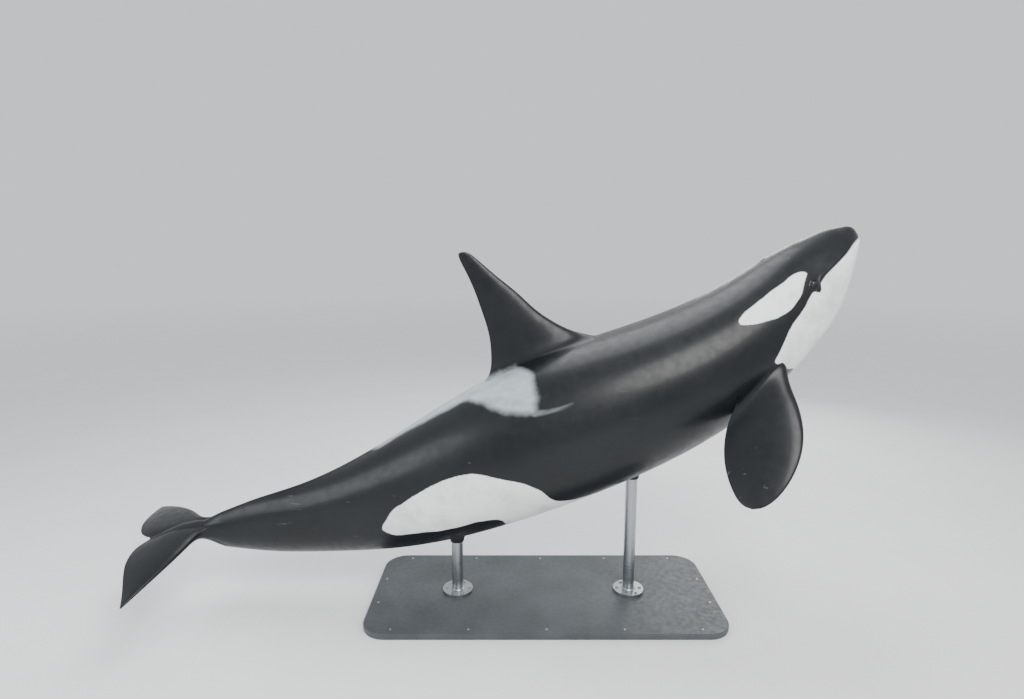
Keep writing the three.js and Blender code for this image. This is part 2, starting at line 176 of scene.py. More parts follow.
# What a vertex of the skin belongs to, and what else is kept with it while the skin is modelled.
BODY, DORSAL, FLIPPER, FLUKE, LIDS, BLOWHOLE = range(6)
LABELS = ("ring", "column", "part", "row")
MEASURES = ("station", "angle", "reach", "chord", "face_side")


def natural_spline(xs, ys):
    """A natural cubic spline through the points, as a function that also takes arrays."""
    xs = np.array(xs, float)
    ys = np.array(ys, float)
    gaps = np.diff(xs)
    slopes = np.diff(ys) / gaps
    last = len(xs) - 1
    matrix = np.eye(last + 1)
    for i in range(1, last):
        matrix[i, i - 1:i + 2] = gaps[i - 1], 2 * (gaps[i - 1] + gaps[i]), gaps[i]
    bends = np.linalg.solve(matrix, np.concatenate(([0], 6 * np.diff(slopes), [0])))

    def at(x):
        i = np.clip(np.searchsorted(xs, x) - 1, 0, last - 1)
        gap = gaps[i]
        a = (xs[i + 1] - x) / gap
        b = 1 - a
        bow = ((a**3 - a) * bends[i] + (b**3 - b) * bends[i + 1]) * gap * gap / 6
        return a * ys[i] + b * ys[i + 1] + bow

    return at


def mix(a, b, share):
    """A value between two others, by its share of the way."""
    return a + (b - a) * share


def smooth_step(x, start, end):
    """0 up to start, 1 from end, and smooth between."""
    t = np.clip((np.asarray(x, float) - start) / (end - start), 0, 1)
    return t * t * (3 - 2 * t)


def bump(x, middle, spread):
    """1 at the middle, fading to nothing on both sides."""
    return np.exp(-(((x - middle) / spread) ** 2))


def unit(vectors):
    """Vectors scaled to a length of 1."""
    return vectors / np.linalg.norm(vectors, axis=-1, keepdims=True)


def column(values):
    """Values as a last axis of one, to multiply vectors by."""
    return np.asarray(values, float)[..., None]


roots = np.sqrt(STATIONS)
back_share = natural_spline(roots, BACK)
belly_share = natural_spline(roots, BELLY)
width_share = natural_spline(roots, WIDTH)
climb_angle = natural_spline(CLIMB_STATIONS, CLIMB)
mouth_height = natural_spline(MOUTH_STATIONS, MOUTH_HEIGHTS)


def spine_axes(station):
    """Ahead, left and up along the spine line."""
    station = np.clip(station, 0, 1)
    pitch = np.radians(climb_angle(station))
    yaw = np.radians(TAIL_YAW * smooth_step(station, YAW_START, TAIL_TURNED))
    lean = np.radians(BODY_LEAN + TAIL_TWIST * smooth_step(station, TWIST_START, TAIL_TURNED))
    ahead = np.stack((np.cos(pitch) * np.cos(yaw), np.cos(pitch) * np.sin(yaw), np.sin(pitch)), -1)
    level = np.stack((-np.sin(yaw), np.cos(yaw), 0 * yaw), -1)
    raised = np.cross(ahead, level)
    left = level * column(np.cos(lean)) + raised * column(np.sin(lean))
    return ahead, left, np.cross(ahead, left)


def spine_table():
    """Points of the spine line, found by stepping back from the snout's tip."""
    steps = (np.arange(SPINE_STEPS) + 0.5) / SPINE_STEPS
    moves = -spine_axes(steps)[0] * LENGTH / SPINE_STEPS
    return np.vstack((SNOUT_TIP, SNOUT_TIP + np.cumsum(moves, axis=0)))


SPINE = spine_table()


def spine_at(station):
    """The spine line's point at a station."""
    places = np.clip(station, 0, 1) * SPINE_STEPS
    known = np.arange(SPINE_STEPS + 1)
    return np.stack([np.interp(places, known, SPINE[:, axis]) for axis in range(3)], -1)


def fluke_axes():
    """Aft, left and up of the flukes' own plane."""
    pitch, yaw, roll = (math.radians(a) for a in (FLUKE_PITCH, TAIL_YAW, FLUKE_ROLL))
    aft = -np.array((math.cos(pitch) * math.cos(yaw), math.cos(pitch) * math.sin(yaw), math.sin(pitch)))
    level = np.array((-math.sin(yaw), math.cos(yaw), 0))
    raised = np.cross(level, aft)
    left = level * math.cos(roll) + raised * math.sin(roll)
    return aft, left, np.cross(left, aft)


FLUKE_AFT, FLUKE_LEFT, FLUKE_UP = fluke_axes()
FLUKE_ORIGIN = spine_at(FLUKE_STATION) + FLUKE_UP * FLUKE_LIFT


def fin_half(share):
    """Half a fin's thickness over its chord: round in front, thickest a third back, thin behind."""
    share = np.clip(share, 0, 1)
    return np.maximum(0.04, 3.06 * (np.sqrt(share) - share) + 0.824 * share * (1 - share))


def section(station):
    """The middle and axes of the body's section, which turn into those of the flukes' midline."""
    station = np.asarray(station, float)
    turned = column(smooth_step(station, TAIL_BLEND_START, TAIL_BLEND_END))
    ahead, left, up = spine_axes(station)
    ahead = unit(mix(ahead, -FLUKE_AFT, turned))
    left = unit(mix(left, FLUKE_LEFT, turned))
    up = unit(mix(up, FLUKE_UP, turned))
    aft = column((station - FLUKE_STATION) * LENGTH) * FLUKE_AFT
    middle = mix(spine_at(station), FLUKE_ORIGIN + aft, turned)
    return middle, ahead, left, up


def tail_taper(station):
    """How the tail's end rounds off, from 1 to 0."""
    beyond = np.clip((station - TAIL_TAPER_START) / (TAIL_END - TAIL_TAPER_START), 0, 1)
    return np.sqrt(1 - beyond**2)


def half_width(station):
    """Half the body's width."""
    return width_share(np.sqrt(np.minimum(station, 1))) * LENGTH * tail_taper(station)


def rise(station, upwards):
    """The body's height over its spine line, or its depth under it."""
    root = np.sqrt(np.minimum(station, 1))
    body = np.where(upwards, back_share(root), belly_share(root)) * LENGTH
    chord = (station - FLUKE_STATION) / (TAIL_END - FLUKE_STATION)
    blade = (FLUKE_THICKNESS + FLUKE_TIP_THICKNESS) / 2 * fin_half(chord)
    turned = smooth_step(station, TAIL_BLEND_START, TAIL_BLEND_END)
    return mix(body, blade, turned) * mix(1, tail_taper(station), turned)


def mean_radius(station, upwards):
    """The mean of half the width and the rise, which turns angles into lengths on the skin."""
    return (half_width(station) + rise(station, upwards)) / 2


def keel_power(station):
    """How square the section is: under 1 is boxy, over 1 is pinched to keels."""
    return mix(BODY_KEEL, TAIL_KEEL, smooth_step(station, KEEL_START, KEEL_END))


def body_point(station, angle):
    """Points on the body's surface."""
    station = np.asarray(station, float)
    turn = np.radians(angle)
    middle, _, left, up = section(station)
    across = np.sign(np.cos(turn)) * np.abs(np.cos(turn)) ** keel_power(station)
    flatness = mix(1, TAIL_FLATNESS, smooth_step(station, FLAT_START, FLAT_END))
    raised = np.sign(np.sin(turn)) * np.abs(np.sin(turn)) ** flatness
    side = half_width(station) * across
    height = rise(station, np.sin(turn) > 0) * raised
    return middle - left * column(side) + up * column(height)


def across_section(points, station):
    """For points near a station: their stations, the squares of their cosine and sine round the body,
    and how far they lie to the left of the spine line and over it.
    """
    station = np.full(len(points), station)
    for _ in range(4):
        middle, ahead, _, _ = section(station)
        station = station - np.sum((points - middle) * ahead, axis=1) / LENGTH
    middle, _, left, up = section(station)
    side = np.sum((points - middle) * left, axis=1)
    height = np.sum((points - middle) * up, axis=1)
    shares = np.abs(side) / half_width(station), np.abs(height) / rise(station, height > 0)
    return station, shares[0] ** (2 / keel_power(station)), shares[1] ** 2, side, height


def outside_by(points, station):
    """How far points lie outside the body near a station: 0 on the skin, negative within."""
    _, across, upright, _, _ = across_section(points, station)
    return across + upright - 1


def place_on_body(points, station):
    """The stations and angles of points near the skin."""
    station, across, upright, side, height = across_section(points, station)
    angle = np.degrees(np.arctan2(np.sqrt(upright) * np.sign(height), -np.sqrt(across) * np.sign(side)))
    return station, angle


def mouth_angle(station):
    """The angle of the mouth's line on the right side, which eases to 0 past the corner."""
    inner = np.minimum(station, MOUTH_CORNER)
    sine = mouth_height(inner) / np.maximum(rise(inner, True), 1)
    past = smooth_step(station, MOUTH_CORNER, 0.16)
    return np.degrees(np.arcsin(np.clip(sine, -0.9, 0.9))) * (1 - past)


def column_angles(station):
    """The angle of each of the skin's columns at a station. Column 0 follows the mouth's line."""
    mouth = float(mouth_angle(station))
    on_head = smooth_step(station, 0, 0.008) * (1 - smooth_step(station, 0.105, 0.16))
    crowding = CROWDING * float(on_head)
    shares = np.linspace(0, 1, 181)
    density = 1 + crowding * bump(shares, 0, CROWDING_SPREAD)
    count = np.concatenate(([0], np.cumsum(density[1:] + density[:-1])))
    eased = np.interp(np.linspace(0, 1, QUARTER + 1), count / count[-1], shares)
    upper = mouth + (90 - mouth) * eased
    lower = mouth - (90 + mouth) * eased
    right = np.concatenate((lower[::-1], upper[1:]))
    left = 180 - right[::-1]
    return np.concatenate((right[QUARTER:], left[1:], right[1:QUARTER] + 360))


def ring_stations():
    """Stations of the skin's rings from the snout to the flukes' notch, at the wanted gaps."""
    station = np.linspace(0, math.sqrt(TAIL_END), 4001) ** 2
    radius = mean_radius(station, True)
    run = np.hypot(np.diff(station) * LENGTH, np.diff(radius))
    gap = np.interp(station[1:], RING_GAP_STATIONS, RING_GAPS)
    count = np.concatenate(([0], np.cumsum(run / gap)))
    rings = round(count[-1])
    return np.interp(np.linspace(0, count[-1], rings + 1), count, station)


def on_side(angle, side):
    """An angle of the right side, or its twin on the left."""
    return angle if side > 0 else 180 - angle


def mirrored(angle):
    """Angles of the left side as their twins on the right one, from -90 to 90."""
    angle = np.mod(np.asarray(angle, float) + 90, 360) - 90
    return np.where(angle > 90, 180 - angle, angle)


# Relief. Each term is a height in millimetres times how it fades along the body and round it.

def head_relief(station, angle):
    """How far the skin stands out of the plain body, in millimetres."""
    right = mirrored(angle)
    around = (mean_radius(station, True) + mean_radius(station, False)) / 2
    over_mouth = np.radians(right - mouth_angle(station)) * around
    along = station * LENGTH
    shut = 1 - smooth_step(station, MOUTH_CORNER - 0.002, MOUTH_CORNER + 0.004)
    front = mix(0.55, 1, smooth_step(station, 0, 0.004))
    groove = -7.5 * bump(over_mouth, 0, 3.4) * shut * front
    lips = (3.2 * bump(over_mouth, 15, 10) + 2.6 * bump(over_mouth, -15, 11)) * shut
    lips = lips * smooth_step(station, 0.001, 0.012)
    corner = 4 * bump(along, (MOUTH_CORNER + 0.006) * LENGTH, 20) * bump(over_mouth, -6, 22)
    crease = -2.6 * bump(over_mouth, 62, 13) * smooth_step(station, 0.003, 0.012)
    crease = crease * (1 - smooth_step(station, 0.045, 0.075))
    melon = 5 * bump(station, 0.05, 0.03) * bump(right, 80, 38)
    brow = 8 * bump(along, 0.099 * LENGTH, 75) * bump(np.radians(right - 21) * around, 0, 42)
    cheek = -5 * bump(along, 0.112 * LENGTH, 70) * bump(np.radians(right - 2) * around, 0, 45)
    over = rise(station, right > 0) * np.sin(np.radians(right))
    aside = half_width(station) * np.cos(np.radians(right))
    snout = 38 * bump(over, 80, 66) * bump(aside, 0, 120) * bump(along, 0, 60)
    chin = -16 * bump(over, -75, 60) * bump(along, 20, 70) * smooth_step(along, 0, 10)
    return groove + lips + corner + crease + melon + brow + cheek + snout + chin


def body_relief(station, angle):
    """The relief of the trunk and tail: ridge, hollows, shoulders, navel and slit."""
    right = mirrored(angle)
    around = mean_radius(station, right > 0)
    behind = smooth_step(station, 0.52, 0.58) * (1 - smooth_step(station, 0.86, 0.93))
    ridge = 7 * bump(np.radians(right - 90) * around, 0, 34) * behind
    along_tail = smooth_step(station, 0.5, 0.62) * (1 - smooth_step(station, 0.84, 0.92))
    valley = -7 * bump(right, 14, 15) * along_tail
    shoulder = 7 * bump(station, 0.21, 0.035) * bump(right, -18, 15)
    midline = np.radians(right + 90) * around
    slit = -8 * bump(midline, 0, 11) * bump(station, 0.635, 0.022)
    navel = -7 * bump(midline, 0, 16) * bump(station * LENGTH, 0.505 * LENGTH, 22)
    return ridge + valley + shoulder + slit + navel


class SkinMesh:
    """The skin while it is being modelled, with what each vertex grew from."""

    def __init__(self):
        self.stations = ring_stations()
        self.angles = np.array([column_angles(s) for s in self.stations])
        self.bm = bmesh.new()
        rings = len(self.stations) - 1
        bmesh.ops.create_uvsphere(self.bm, u_segments=COLUMNS, v_segments=rings, radius=1)
        for name in LABELS:
            setattr(self, name, self.bm.verts.layers.int.new(name))
        for name in MEASURES:
            setattr(self, name, self.bm.verts.layers.float.new(name))
        verts = list(self.bm.verts)
        places = np.array([v.co for v in verts])
        polar = np.arccos(np.clip(places[:, 2], -1, 1))
        ring = np.rint(polar / math.pi * rings).astype(int)
        turn = np.arctan2(places[:, 1], places[:, 0])
        spoke = np.rint(turn / math.tau * COLUMNS).astype(int) % COLUMNS
        station = self.stations[ring]
        angle = self.angles[ring, spoke]
        points = body_point(station, angle)
        for vert, point, r, c, s, a in zip(verts, points, ring, spoke, station, angle):
            vert.co = point
            vert[self.ring] = int(r)
            vert[self.column] = int(c)
            vert[self.station] = s
            vert[self.angle] = a
        bmesh.ops.recalc_face_normals(self.bm, faces=self.bm.faces)
        if self.bm.calc_volume(signed=True) < 0:
            bmesh.ops.reverse_faces(self.bm, faces=self.bm.faces)
        self.raise_relief(verts, station, angle)

    def raise_relief(self, verts, station, angle):
        """Moves vertices along their normals by the relief."""
        self.bm.normal_update()
        height = head_relief(station, angle) + body_relief(station, angle)
        for vert, h in zip(verts, height):
            vert.co += vert.normal * h

    def nearest_ring(self, station):
        """The number of the ring nearest a station."""
        return int(np.argmin(np.abs(self.stations - station)))

    def nearest_column(self, station, angle):
        """The number of the column nearest an angle."""
        angles = self.angles[self.nearest_ring(station)]
        return int(np.argmin(np.abs((angles - angle + 180) % 360 - 180)))

    def patch(self, first, last, middle, half):
        """Faces of the plain body between two rings, and within so many columns of a middle one."""
        found = []
        for face in self.bm.faces:
            if not all(first <= v[self.ring] <= last and v[self.part] == BODY for v in face.verts):
                continue
            if all(abs(self.columns_past(v, middle)) <= half for v in face.verts):
                found.append(face)
        return found

    def columns_past(self, vert, middle):
        """How many columns a vertex lies past a middle one, counted the short way round."""
        return (vert[self.column] - middle + COLUMNS // 2) % COLUMNS - COLUMNS // 2

    def grow(self, faces, part, rows, place):
        """Extrudes a patch row by row. place gives points for the patch's vertices on a row."""
        verts = list({v: None for f in faces for v in f.verts})
        start = {(v[self.ring], v[self.column]): np.array(v.co) for v in verts}
        for number, row in enumerate(rows):
            result = bmesh.ops.extrude_face_region(self.bm, geom=faces)
            bmesh.ops.delete(self.bm, geom=faces, context="FACES")
            faces = [g for g in result["geom"] if isinstance(g, bmesh.types.BMFace)]
            verts = list({v: None for f in faces for v in f.verts})
            base = np.array([start[v[self.ring], v[self.column]] for v in verts])
            points = place(verts, base, row)
            for vert, point in zip(verts, points):
                vert.co = point
                vert[self.part] = part
                vert[self.row] = number + 1
        return faces


# How far round a fin's section its front and rear edges start, in radians.
NOSE_TURN = 0.22
REAR_TURN = 0.16
# Where the last row lies, just short of the tip, so that its faces keep a size.
TIP_SHARE = 0.9995
# How much the rows crowd to the tip, from 0 to 1.
TIP_CROWDING = 0.55
# How far along a fin's axis its lines may leave the body, either way from its origin.
ROOT_SEARCH = 330.0


def chord_and_side(along, across):
    """Where a patch's vertex goes on a fin's section.

    along runs from 0 in front to 1 behind, and across from -1 on one face to 1 on the other.
    The result is the share of the chord and the share of half the thickness.
    """
    turn = mix(NOSE_TURN, math.pi - REAR_TURN, along)
    turn = np.where(along <= 0, NOSE_TURN * np.abs(across), turn)
    turn = np.where(along >= 1, math.pi - REAR_TURN * np.abs(across), turn)
    share = (1 - np.cos(turn)) / 2
    end = (along <= 0) | (along >= 1)
    side = np.where(end, np.sign(across), across)
    return share, side * fin_half(share)


def fillet(progress):
    """How far a root's row has left the body: fast at first, so that it curves out of the skin."""
    return 1 - (1 - np.clip(progress, 0, 1)) ** 2


class Fin:
    """A fin's blade: where it stands, its axes and its outline from root to tip."""

    side = 1

    def __init__(self, skin, part, first, last, middle, half, root_rows, rows, root_share):
        self.skin = skin
        self.part = part
        self.first = first
        self.last = last
        self.middle = middle
        self.half = half
        steps = np.linspace(0, 1, root_rows + 1)[1:]
        root = [(root_share * t * t, fillet(t)) for t in steps]
        rest = np.linspace(root_share, TIP_SHARE, rows + 1)[1:]
        blade = [(float(mix(t, math.sin(t * math.pi / 2), TIP_CROWDING)), 1.0) for t in rest]
        self.rows = root + blade
        self.starts = {}

    def shares(self, verts):
        """Where the patch's vertices lie from front to rear, and from face to face."""
        ring = np.array([v[self.skin.ring] for v in verts])
        past = np.array([self.skin.columns_past(v, self.middle) for v in verts])
        along = (ring - self.first) / (self.last - self.first)
        return along, past / self.half

    def grow(self):
        """Grows the blade out of its patch."""
        faces = self.skin.patch(self.first, self.last, self.middle, self.half)
        self.skin.grow(faces, self.part, self.rows, self.place)

    def place(self, verts, base, row):
        """The vertices' points on a row, part way out of the body at the root."""
        share, left_body = row
        along, across = self.shares(verts)
        chord, side = chord_and_side(along, across)
        points, reach = self.blade_points(verts, chord, side, share)
        for vert, c, s, r in zip(verts, chord, side, reach):
            vert[self.skin.chord] = c
            vert[self.skin.face_side] = s * self.side
            vert[self.skin.reach] = max(0, r) * left_body
        return mix(base, points, left_body)


class StraightFin(Fin):
    """A fin with one straight axis, which starts where each of its lines leaves the body."""

    def set_blade(self, origin, along, chord, face, station, length, rows, leading, trailing, thickness):
        self.origin = origin
        self.along = along
        self.chord = chord
        self.face = face
        self.station = station
        self.length = length
        # The outline is drawn over the arcsine of the share, so that the tip is round.
        turns = np.arcsin(rows)
        self.leading = natural_spline(turns, leading)
        self.trailing = natural_spline(turns, trailing)
        self.thickness = natural_spline(turns, thickness)

    def point(self, chord, side, reach):
        """Points of the blade at distances along its axis."""
        turn = np.arcsin(np.clip(reach / self.length, 0, 1))
        over = mix(self.leading(turn), self.trailing(turn), chord)
        aside = side * self.thickness(turn) / 2
        return (self.origin + self.along * column(reach)
                + self.chord * column(over) + self.face * column(aside))

    def leaves_body_at(self, verts, chord, side):
        """How far along the axis each vertex's line leaves the body."""
        keys = [(v[self.skin.ring], v[self.skin.column]) for v in verts]
        if not self.starts:
            self.starts = dict(zip(keys, self.find_starts(chord, side)))
        return np.array([self.starts[key] for key in keys])

    def find_starts(self, chord, side):
        """Where each line of the fin leaves the body, found by halving."""
        low = np.full(len(chord), -ROOT_SEARCH)
        high = np.full(len(chord), ROOT_SEARCH)
        for _ in range(24):
            middle = (low + high) / 2
            outside = outside_by(self.point(chord, side, middle), self.station) > 0
            high = np.where(outside, middle, high)
            low = np.where(outside, low, middle)
        return high

    def blade_points(self, verts, chord, side, share):
        start = self.leaves_body_at(verts, chord, side)
        reach = mix(start, self.length, share)
        return self.point(chord, side, reach), reach - start


class Fluke(Fin):
    """One fluke, whose rows lie beside the midline."""

    def blade_points(self, verts, chord, side, share):
        out = mix(FLUKE_ROOT_OUT, FLUKE_HALF_SPAN, share)
        q = out / FLUKE_HALF_SPAN
        leading = FLUKE_SWEEP * q**FLUKE_LEADING_CURVE
        lobe = FLUKE_LOBE * math.sin(math.pi * q) * (1 - q)
        notch = FLUKE_NOTCH * math.exp(-((out / FLUKE_NOTCH_WIDTH) ** 2))
        trailing = mix(FLUKE_CHORD, FLUKE_SWEEP + FLUKE_TIP_CHORD, q) + lobe - notch
        thickness = FLUKE_THICKNESS * (1 - q) ** FLUKE_THINNING + FLUKE_TIP_THICKNESS
        droop = FLUKE_DROOP * q**FLUKE_DROOP_CURVE
        aft = mix(leading, trailing, chord)
        height = self.side * side * thickness / 2 - droop
        points = (FLUKE_ORIGIN + FLUKE_AFT * column(aft)
                  - FLUKE_LEFT * self.side * out + FLUKE_UP * column(height))
        return points, np.full(len(chord), out - FLUKE_ROOT_OUT)


def grow_dorsal_fin(skin):
    """The dorsal fin, out of the back."""
    first, last = (skin.nearest_ring(s) for s in DORSAL_PATCH)
    fin = StraightFin(skin, DORSAL, first, last, QUARTER, half=5, root_rows=7, rows=40, root_share=0.13)
    ahead, left, up = spine_axes(DORSAL_STATION)
    origin = spine_at(DORSAL_STATION) + up * DORSAL_BASE
    fin.set_blade(origin, up, ahead, left, DORSAL_ROOT_STATION, DORSAL_HEIGHT,
                  DORSAL_ROWS, DORSAL_LEADING, DORSAL_TRAILING, DORSAL_THICKNESS)
    fin.grow()


def flipper_axes(side):
    """The root, the way the blade points, its chord and its face, as in the solids."""
    ahead, left, up = spine_axes(FLIPPER_STATION)
    angle = on_side(FLIPPER_ANGLE, side)
    sweep = math.radians(FLIPPER_SWEEP)
    drop = math.radians(FLIPPER_DROP)
    along = (-ahead * math.sin(sweep) - left * side * math.cos(sweep) * math.cos(drop)
             - up * math.cos(sweep) * math.sin(drop))
    flat = unit(ahead - along * np.dot(ahead, along))
    turn = side * math.radians(FLIPPER_TURN)
    chord = flat * math.cos(turn) + np.cross(along, flat) * math.sin(turn)
    return body_point(FLIPPER_STATION, angle), angle, along, chord, np.cross(along, chord)


def grow_flipper(skin, side):
    """A flipper, out of the chest's side."""
    root, angle, along, chord, face = flipper_axes(side)
    onward = body_point(FLIPPER_STATION, angle + 2) - body_point(FLIPPER_STATION, angle - 2)
    if np.dot(face, onward) < 0:
        face = -face
    first, last = (skin.nearest_ring(s) for s in FLIPPER_PATCH)
    middle = skin.nearest_column(FLIPPER_STATION, angle % 360)
    fin = StraightFin(skin, FLIPPER, first, last, middle, half=4, root_rows=6, rows=36, root_share=0.14)
    fin.set_blade(root, along, chord, face, FLIPPER_STATION, FLIPPER_LENGTH,
                  FLIPPER_ROWS, FLIPPER_LEADING, FLIPPER_TRAILING, FLIPPER_THICKNESS)
    fin.grow()


def grow_fluke(skin, side):
    """A fluke, out of the tail stock's side."""
    first = skin.nearest_ring(FLUKE_PATCH_START)
    last = len(skin.stations) - 3
    middle = 0 if side > 0 else COLUMNS // 2
    fin = Fluke(skin, FLUKE, first, last, middle, half=16, root_rows=7, rows=30, root_share=0.2)
    fin.side = side
    fin.grow()


# The eyelids, from the rim of the socket in: half the opening along and across the head, the height
# over the plain skin, how closely the row follows the eyeball, and the height over the eyeball.
LID_ROWS = (
    (45, 34.6, 0.0, 0.0, 0.0),
    (44.4, 33.6, 0.0, 0.0, 0.0),
    (43.4, 32.4, 0.3, 0.03, 0.0),
    (40.6, 28.8, -0.4, 0.12, 0.0),
    (37.5, 25.4, 0.6, 0.3, 2.0),
    (35, 22.4, 1.6, 0.7, 3.2),
    (32.6, 20.2, 2.0, 0.9, 3.0),
    (30.8, 18.4, 1.2, 1.0, 1.5),
    (29.2, 16.8, 1.2, 1.0, 2.2),
    (27.4, 15.2, 0.0, 1.0, 3.2),
    (25.8, 13.9, 0.0, 1.0, 3.0),
    (24.7, 12.9, 0.0, 1.0, 2.1),
    (24.1, 12.4, 0.0, 1.0, 0.9),
    (23.7, 12.0, 0.0, 1.0, -0.8),
    (23.0, 11.4, 0.0, 1.0, -4.0),
    (12, 6, 0.0, 1.0, -10.0),
)
LID_PATCH = 6
EYE_TILT = 8.0
CORNER_SINK = 7.0
HOOD = 1.8
# The power of the ovals: 2 is an ellipse, less is almond shaped, and the outermost are fuller.
OVAL_POWER = 1.75
RIM_POWER = 2.4


def eye_place(side):
    """The skin's point over the eyeball's middle, and the directions ahead, up and out of it."""
    angle = on_side(EYE_ANGLE, side)
    here = body_point(EYE_STATION, angle)
    ahead = unit(body_point(EYE_STATION - 0.002, angle) - body_point(EYE_STATION + 0.002, angle))
    round_it = body_point(EYE_STATION, angle + 1) - body_point(EYE_STATION, angle - 1)
    out = unit(np.cross(ahead, round_it))
    if np.dot(out, here - spine_at(EYE_STATION)) < 0:
        out = -out
    up = unit(round_it - ahead * np.dot(round_it, ahead)) * side
    tilt = math.radians(EYE_TILT)
    middle = eyeball_middle(side)
    over = middle + out * np.dot(here - middle, out)
    forward = ahead * math.cos(tilt) + up * math.sin(tilt)
    upward = up * math.cos(tilt) - ahead * math.sin(tilt)
    return over, forward, upward, out


def eyeball_middle(side):
    """The middle of an eyeball, sunk from the skin towards the spine line."""
    angle = on_side(EYE_ANGLE, side)
    here = body_point(EYE_STATION, angle)
    return here + unit(spine_at(EYE_STATION) - here) * EYE_DEPTH


def patch_share(skin, vert, rings, middle, half):
    """How near a patch's rim a vertex is, from 0 in the middle to 1."""
    first, last = rings
    along = abs(2 * (vert[skin.ring] - first) / (last - first) - 1)
    return max(along, abs(skin.columns_past(vert, middle)) / half)


def grow_ovals(skin, part, rings, middle, half, rows, axes, height, curl=0.0):
    """Turns a patch into rings of smaller and smaller ovals on the skin.

    The first ring lies half way between the patch's rim and its oval, and height gives how far
    along the outward axis each point lies.
    """
    here, along, across, out = axes
    station = skin.stations[(rings[0] + rings[1]) // 2]

    def place(verts, base, row):
        near = np.array([patch_share(skin, v, rings, middle, half) for v in verts])
        x = (base - here) @ along
        y = (base - here) @ across
        centre = int(np.argmin(near))
        x = x - x[centre] * (1 - near)
        y = y - y[centre] * (1 - near)
        size = row[0] / rows[0][0]
        power = mix(OVAL_POWER, RIM_POWER, float(smooth_step(size, 0.84, 1)))
        stretch = (np.abs(x / row[0]) ** power + np.abs(y / row[1]) ** power) ** (1 / power)
        scale = mix(1, near / np.maximum(stretch, 1e-6), 0.5 if row is rows[0] else 1)
        x, y = x * scale, y * scale
        x = x + curl * y * y * float(1 - smooth_step(size, 0.4, 0.9))
        flat = here + np.outer(x, along) + np.outer(y, across)
        stations, angles = place_on_body(flat, station)
        for vert, s, a in zip(verts, stations, angles):
            vert[skin.station] = s
            vert[skin.angle] = a
        under = (body_point(stations, angles) - here) @ out
        under = under + head_relief(stations, angles)
        return flat + np.outer(height(x, y, row, under), out)

    faces = skin.patch(*rings, middle, half)
    return skin.grow(faces, part, rows, place)


def grow_eyelids(skin, side):
    """Two lids that follow the eyeball, with a hood over it and corners that sink beside it."""
    angle = on_side(EYE_ANGLE, side)
    axes = eye_place(side)
    depth = float(np.dot(axes[0] - eyeball_middle(side), axes[3]))
    # The patch's middle is a ring ahead of the eye and two columns under it, where the lids' ovals
    # fit in it on all sides.
    middle_ring = skin.nearest_ring(EYE_STATION) - 1
    rings = (middle_ring - LID_PATCH, middle_ring + LID_PATCH)
    middle = skin.nearest_column(EYE_STATION, angle) - 2 * side

    def height(x, y, row, under):
        _, half, lift, follow, over_ball = row
        sink = CORNER_SINK * float(1 - smooth_step(half, 13, 20))
        ball = np.sqrt(np.maximum(EYE_RADIUS**2 - x * x - y * y, (depth - sink) ** 2)) - depth
        hood = HOOD * smooth_step(y, 1, 12) * float(bump(half, 19, 5))
        return mix(under + lift, ball + over_ball, follow) + hood

    grow_ovals(skin, LIDS, rings, middle, LID_PATCH, LID_ROWS, axes, height)


# The blowhole, from its rim in: half the opening along and across the head, and the height over
# the skin.
BLOWHOLE_ROWS = (
    (48, 62, 0.0),
    (42, 56, 0.6),
    (33, 47, 1.8),
    (25, 42, 2.6),
    (18, 38, 2.6),
    (12, 35, 1.4),
    (7.5, 33, -1.5),
    (4.6, 31.5, -7.0),
    (3.2, 30, -15.0),
)
BLOWHOLE_STATION = 0.106
BLOWHOLE_ANGLE = 92.0
BLOWHOLE_CURL = 1 / 75
BLOWHOLE_RINGS = 6
BLOWHOLE_COLUMNS = 4


def grow_blowhole(skin):
    """The blowhole: a crescent slit across the head, with raised lips that die out at its ends."""
    here = body_point(BLOWHOLE_STATION, BLOWHOLE_ANGLE)
    ahead = unit(body_point(BLOWHOLE_STATION - 0.002, 90) - body_point(BLOWHOLE_STATION + 0.002, 90))
    _, _, left, _ = section(BLOWHOLE_STATION)
    across = unit(left - ahead * np.dot(left, ahead))
    out = np.cross(ahead, across)
    middle_ring = skin.nearest_ring(BLOWHOLE_STATION)
    rings = (middle_ring - BLOWHOLE_RINGS, middle_ring + BLOWHOLE_RINGS)
    middle = skin.nearest_column(BLOWHOLE_STATION, BLOWHOLE_ANGLE)

    def height(x, y, row, under):
        return under + row[2] * (1 - np.clip(np.abs(y) / row[1], 0, 1) ** 3)

    axes = (here, ahead, across, out)
    grow_ovals(skin, BLOWHOLE, rings, middle, BLOWHOLE_COLUMNS, BLOWHOLE_ROWS, axes, height,
               BLOWHOLE_CURL)


# How many rows of each fin's root are eased, how far that spreads over the body, and how often.
EASED_ROWS = {DORSAL: 9, FLIPPER: 8, FLUKE: 9}
EASED_STEPS = 3
EASINGS = 6


def smooth_roots(skin):
    """Eases the skin where the fins and flukes leave the body."""
    near = {v for v in skin.bm.verts if 0 < v[skin.row] <= EASED_ROWS.get(v[skin.part], 0)}
    for _ in range(EASED_STEPS):
        near |= {e.other_vert(v) for v in near for e in v.link_edges if e.other_vert(v)[skin.row] == 0}
    zone = [v for v in skin.bm.verts if v in near]
    for _ in range(EASINGS):
        bmesh.ops.smooth_vert(skin.bm, verts=zone, factor=0.5,
                              use_axis_x=True, use_axis_y=True, use_axis_z=True)


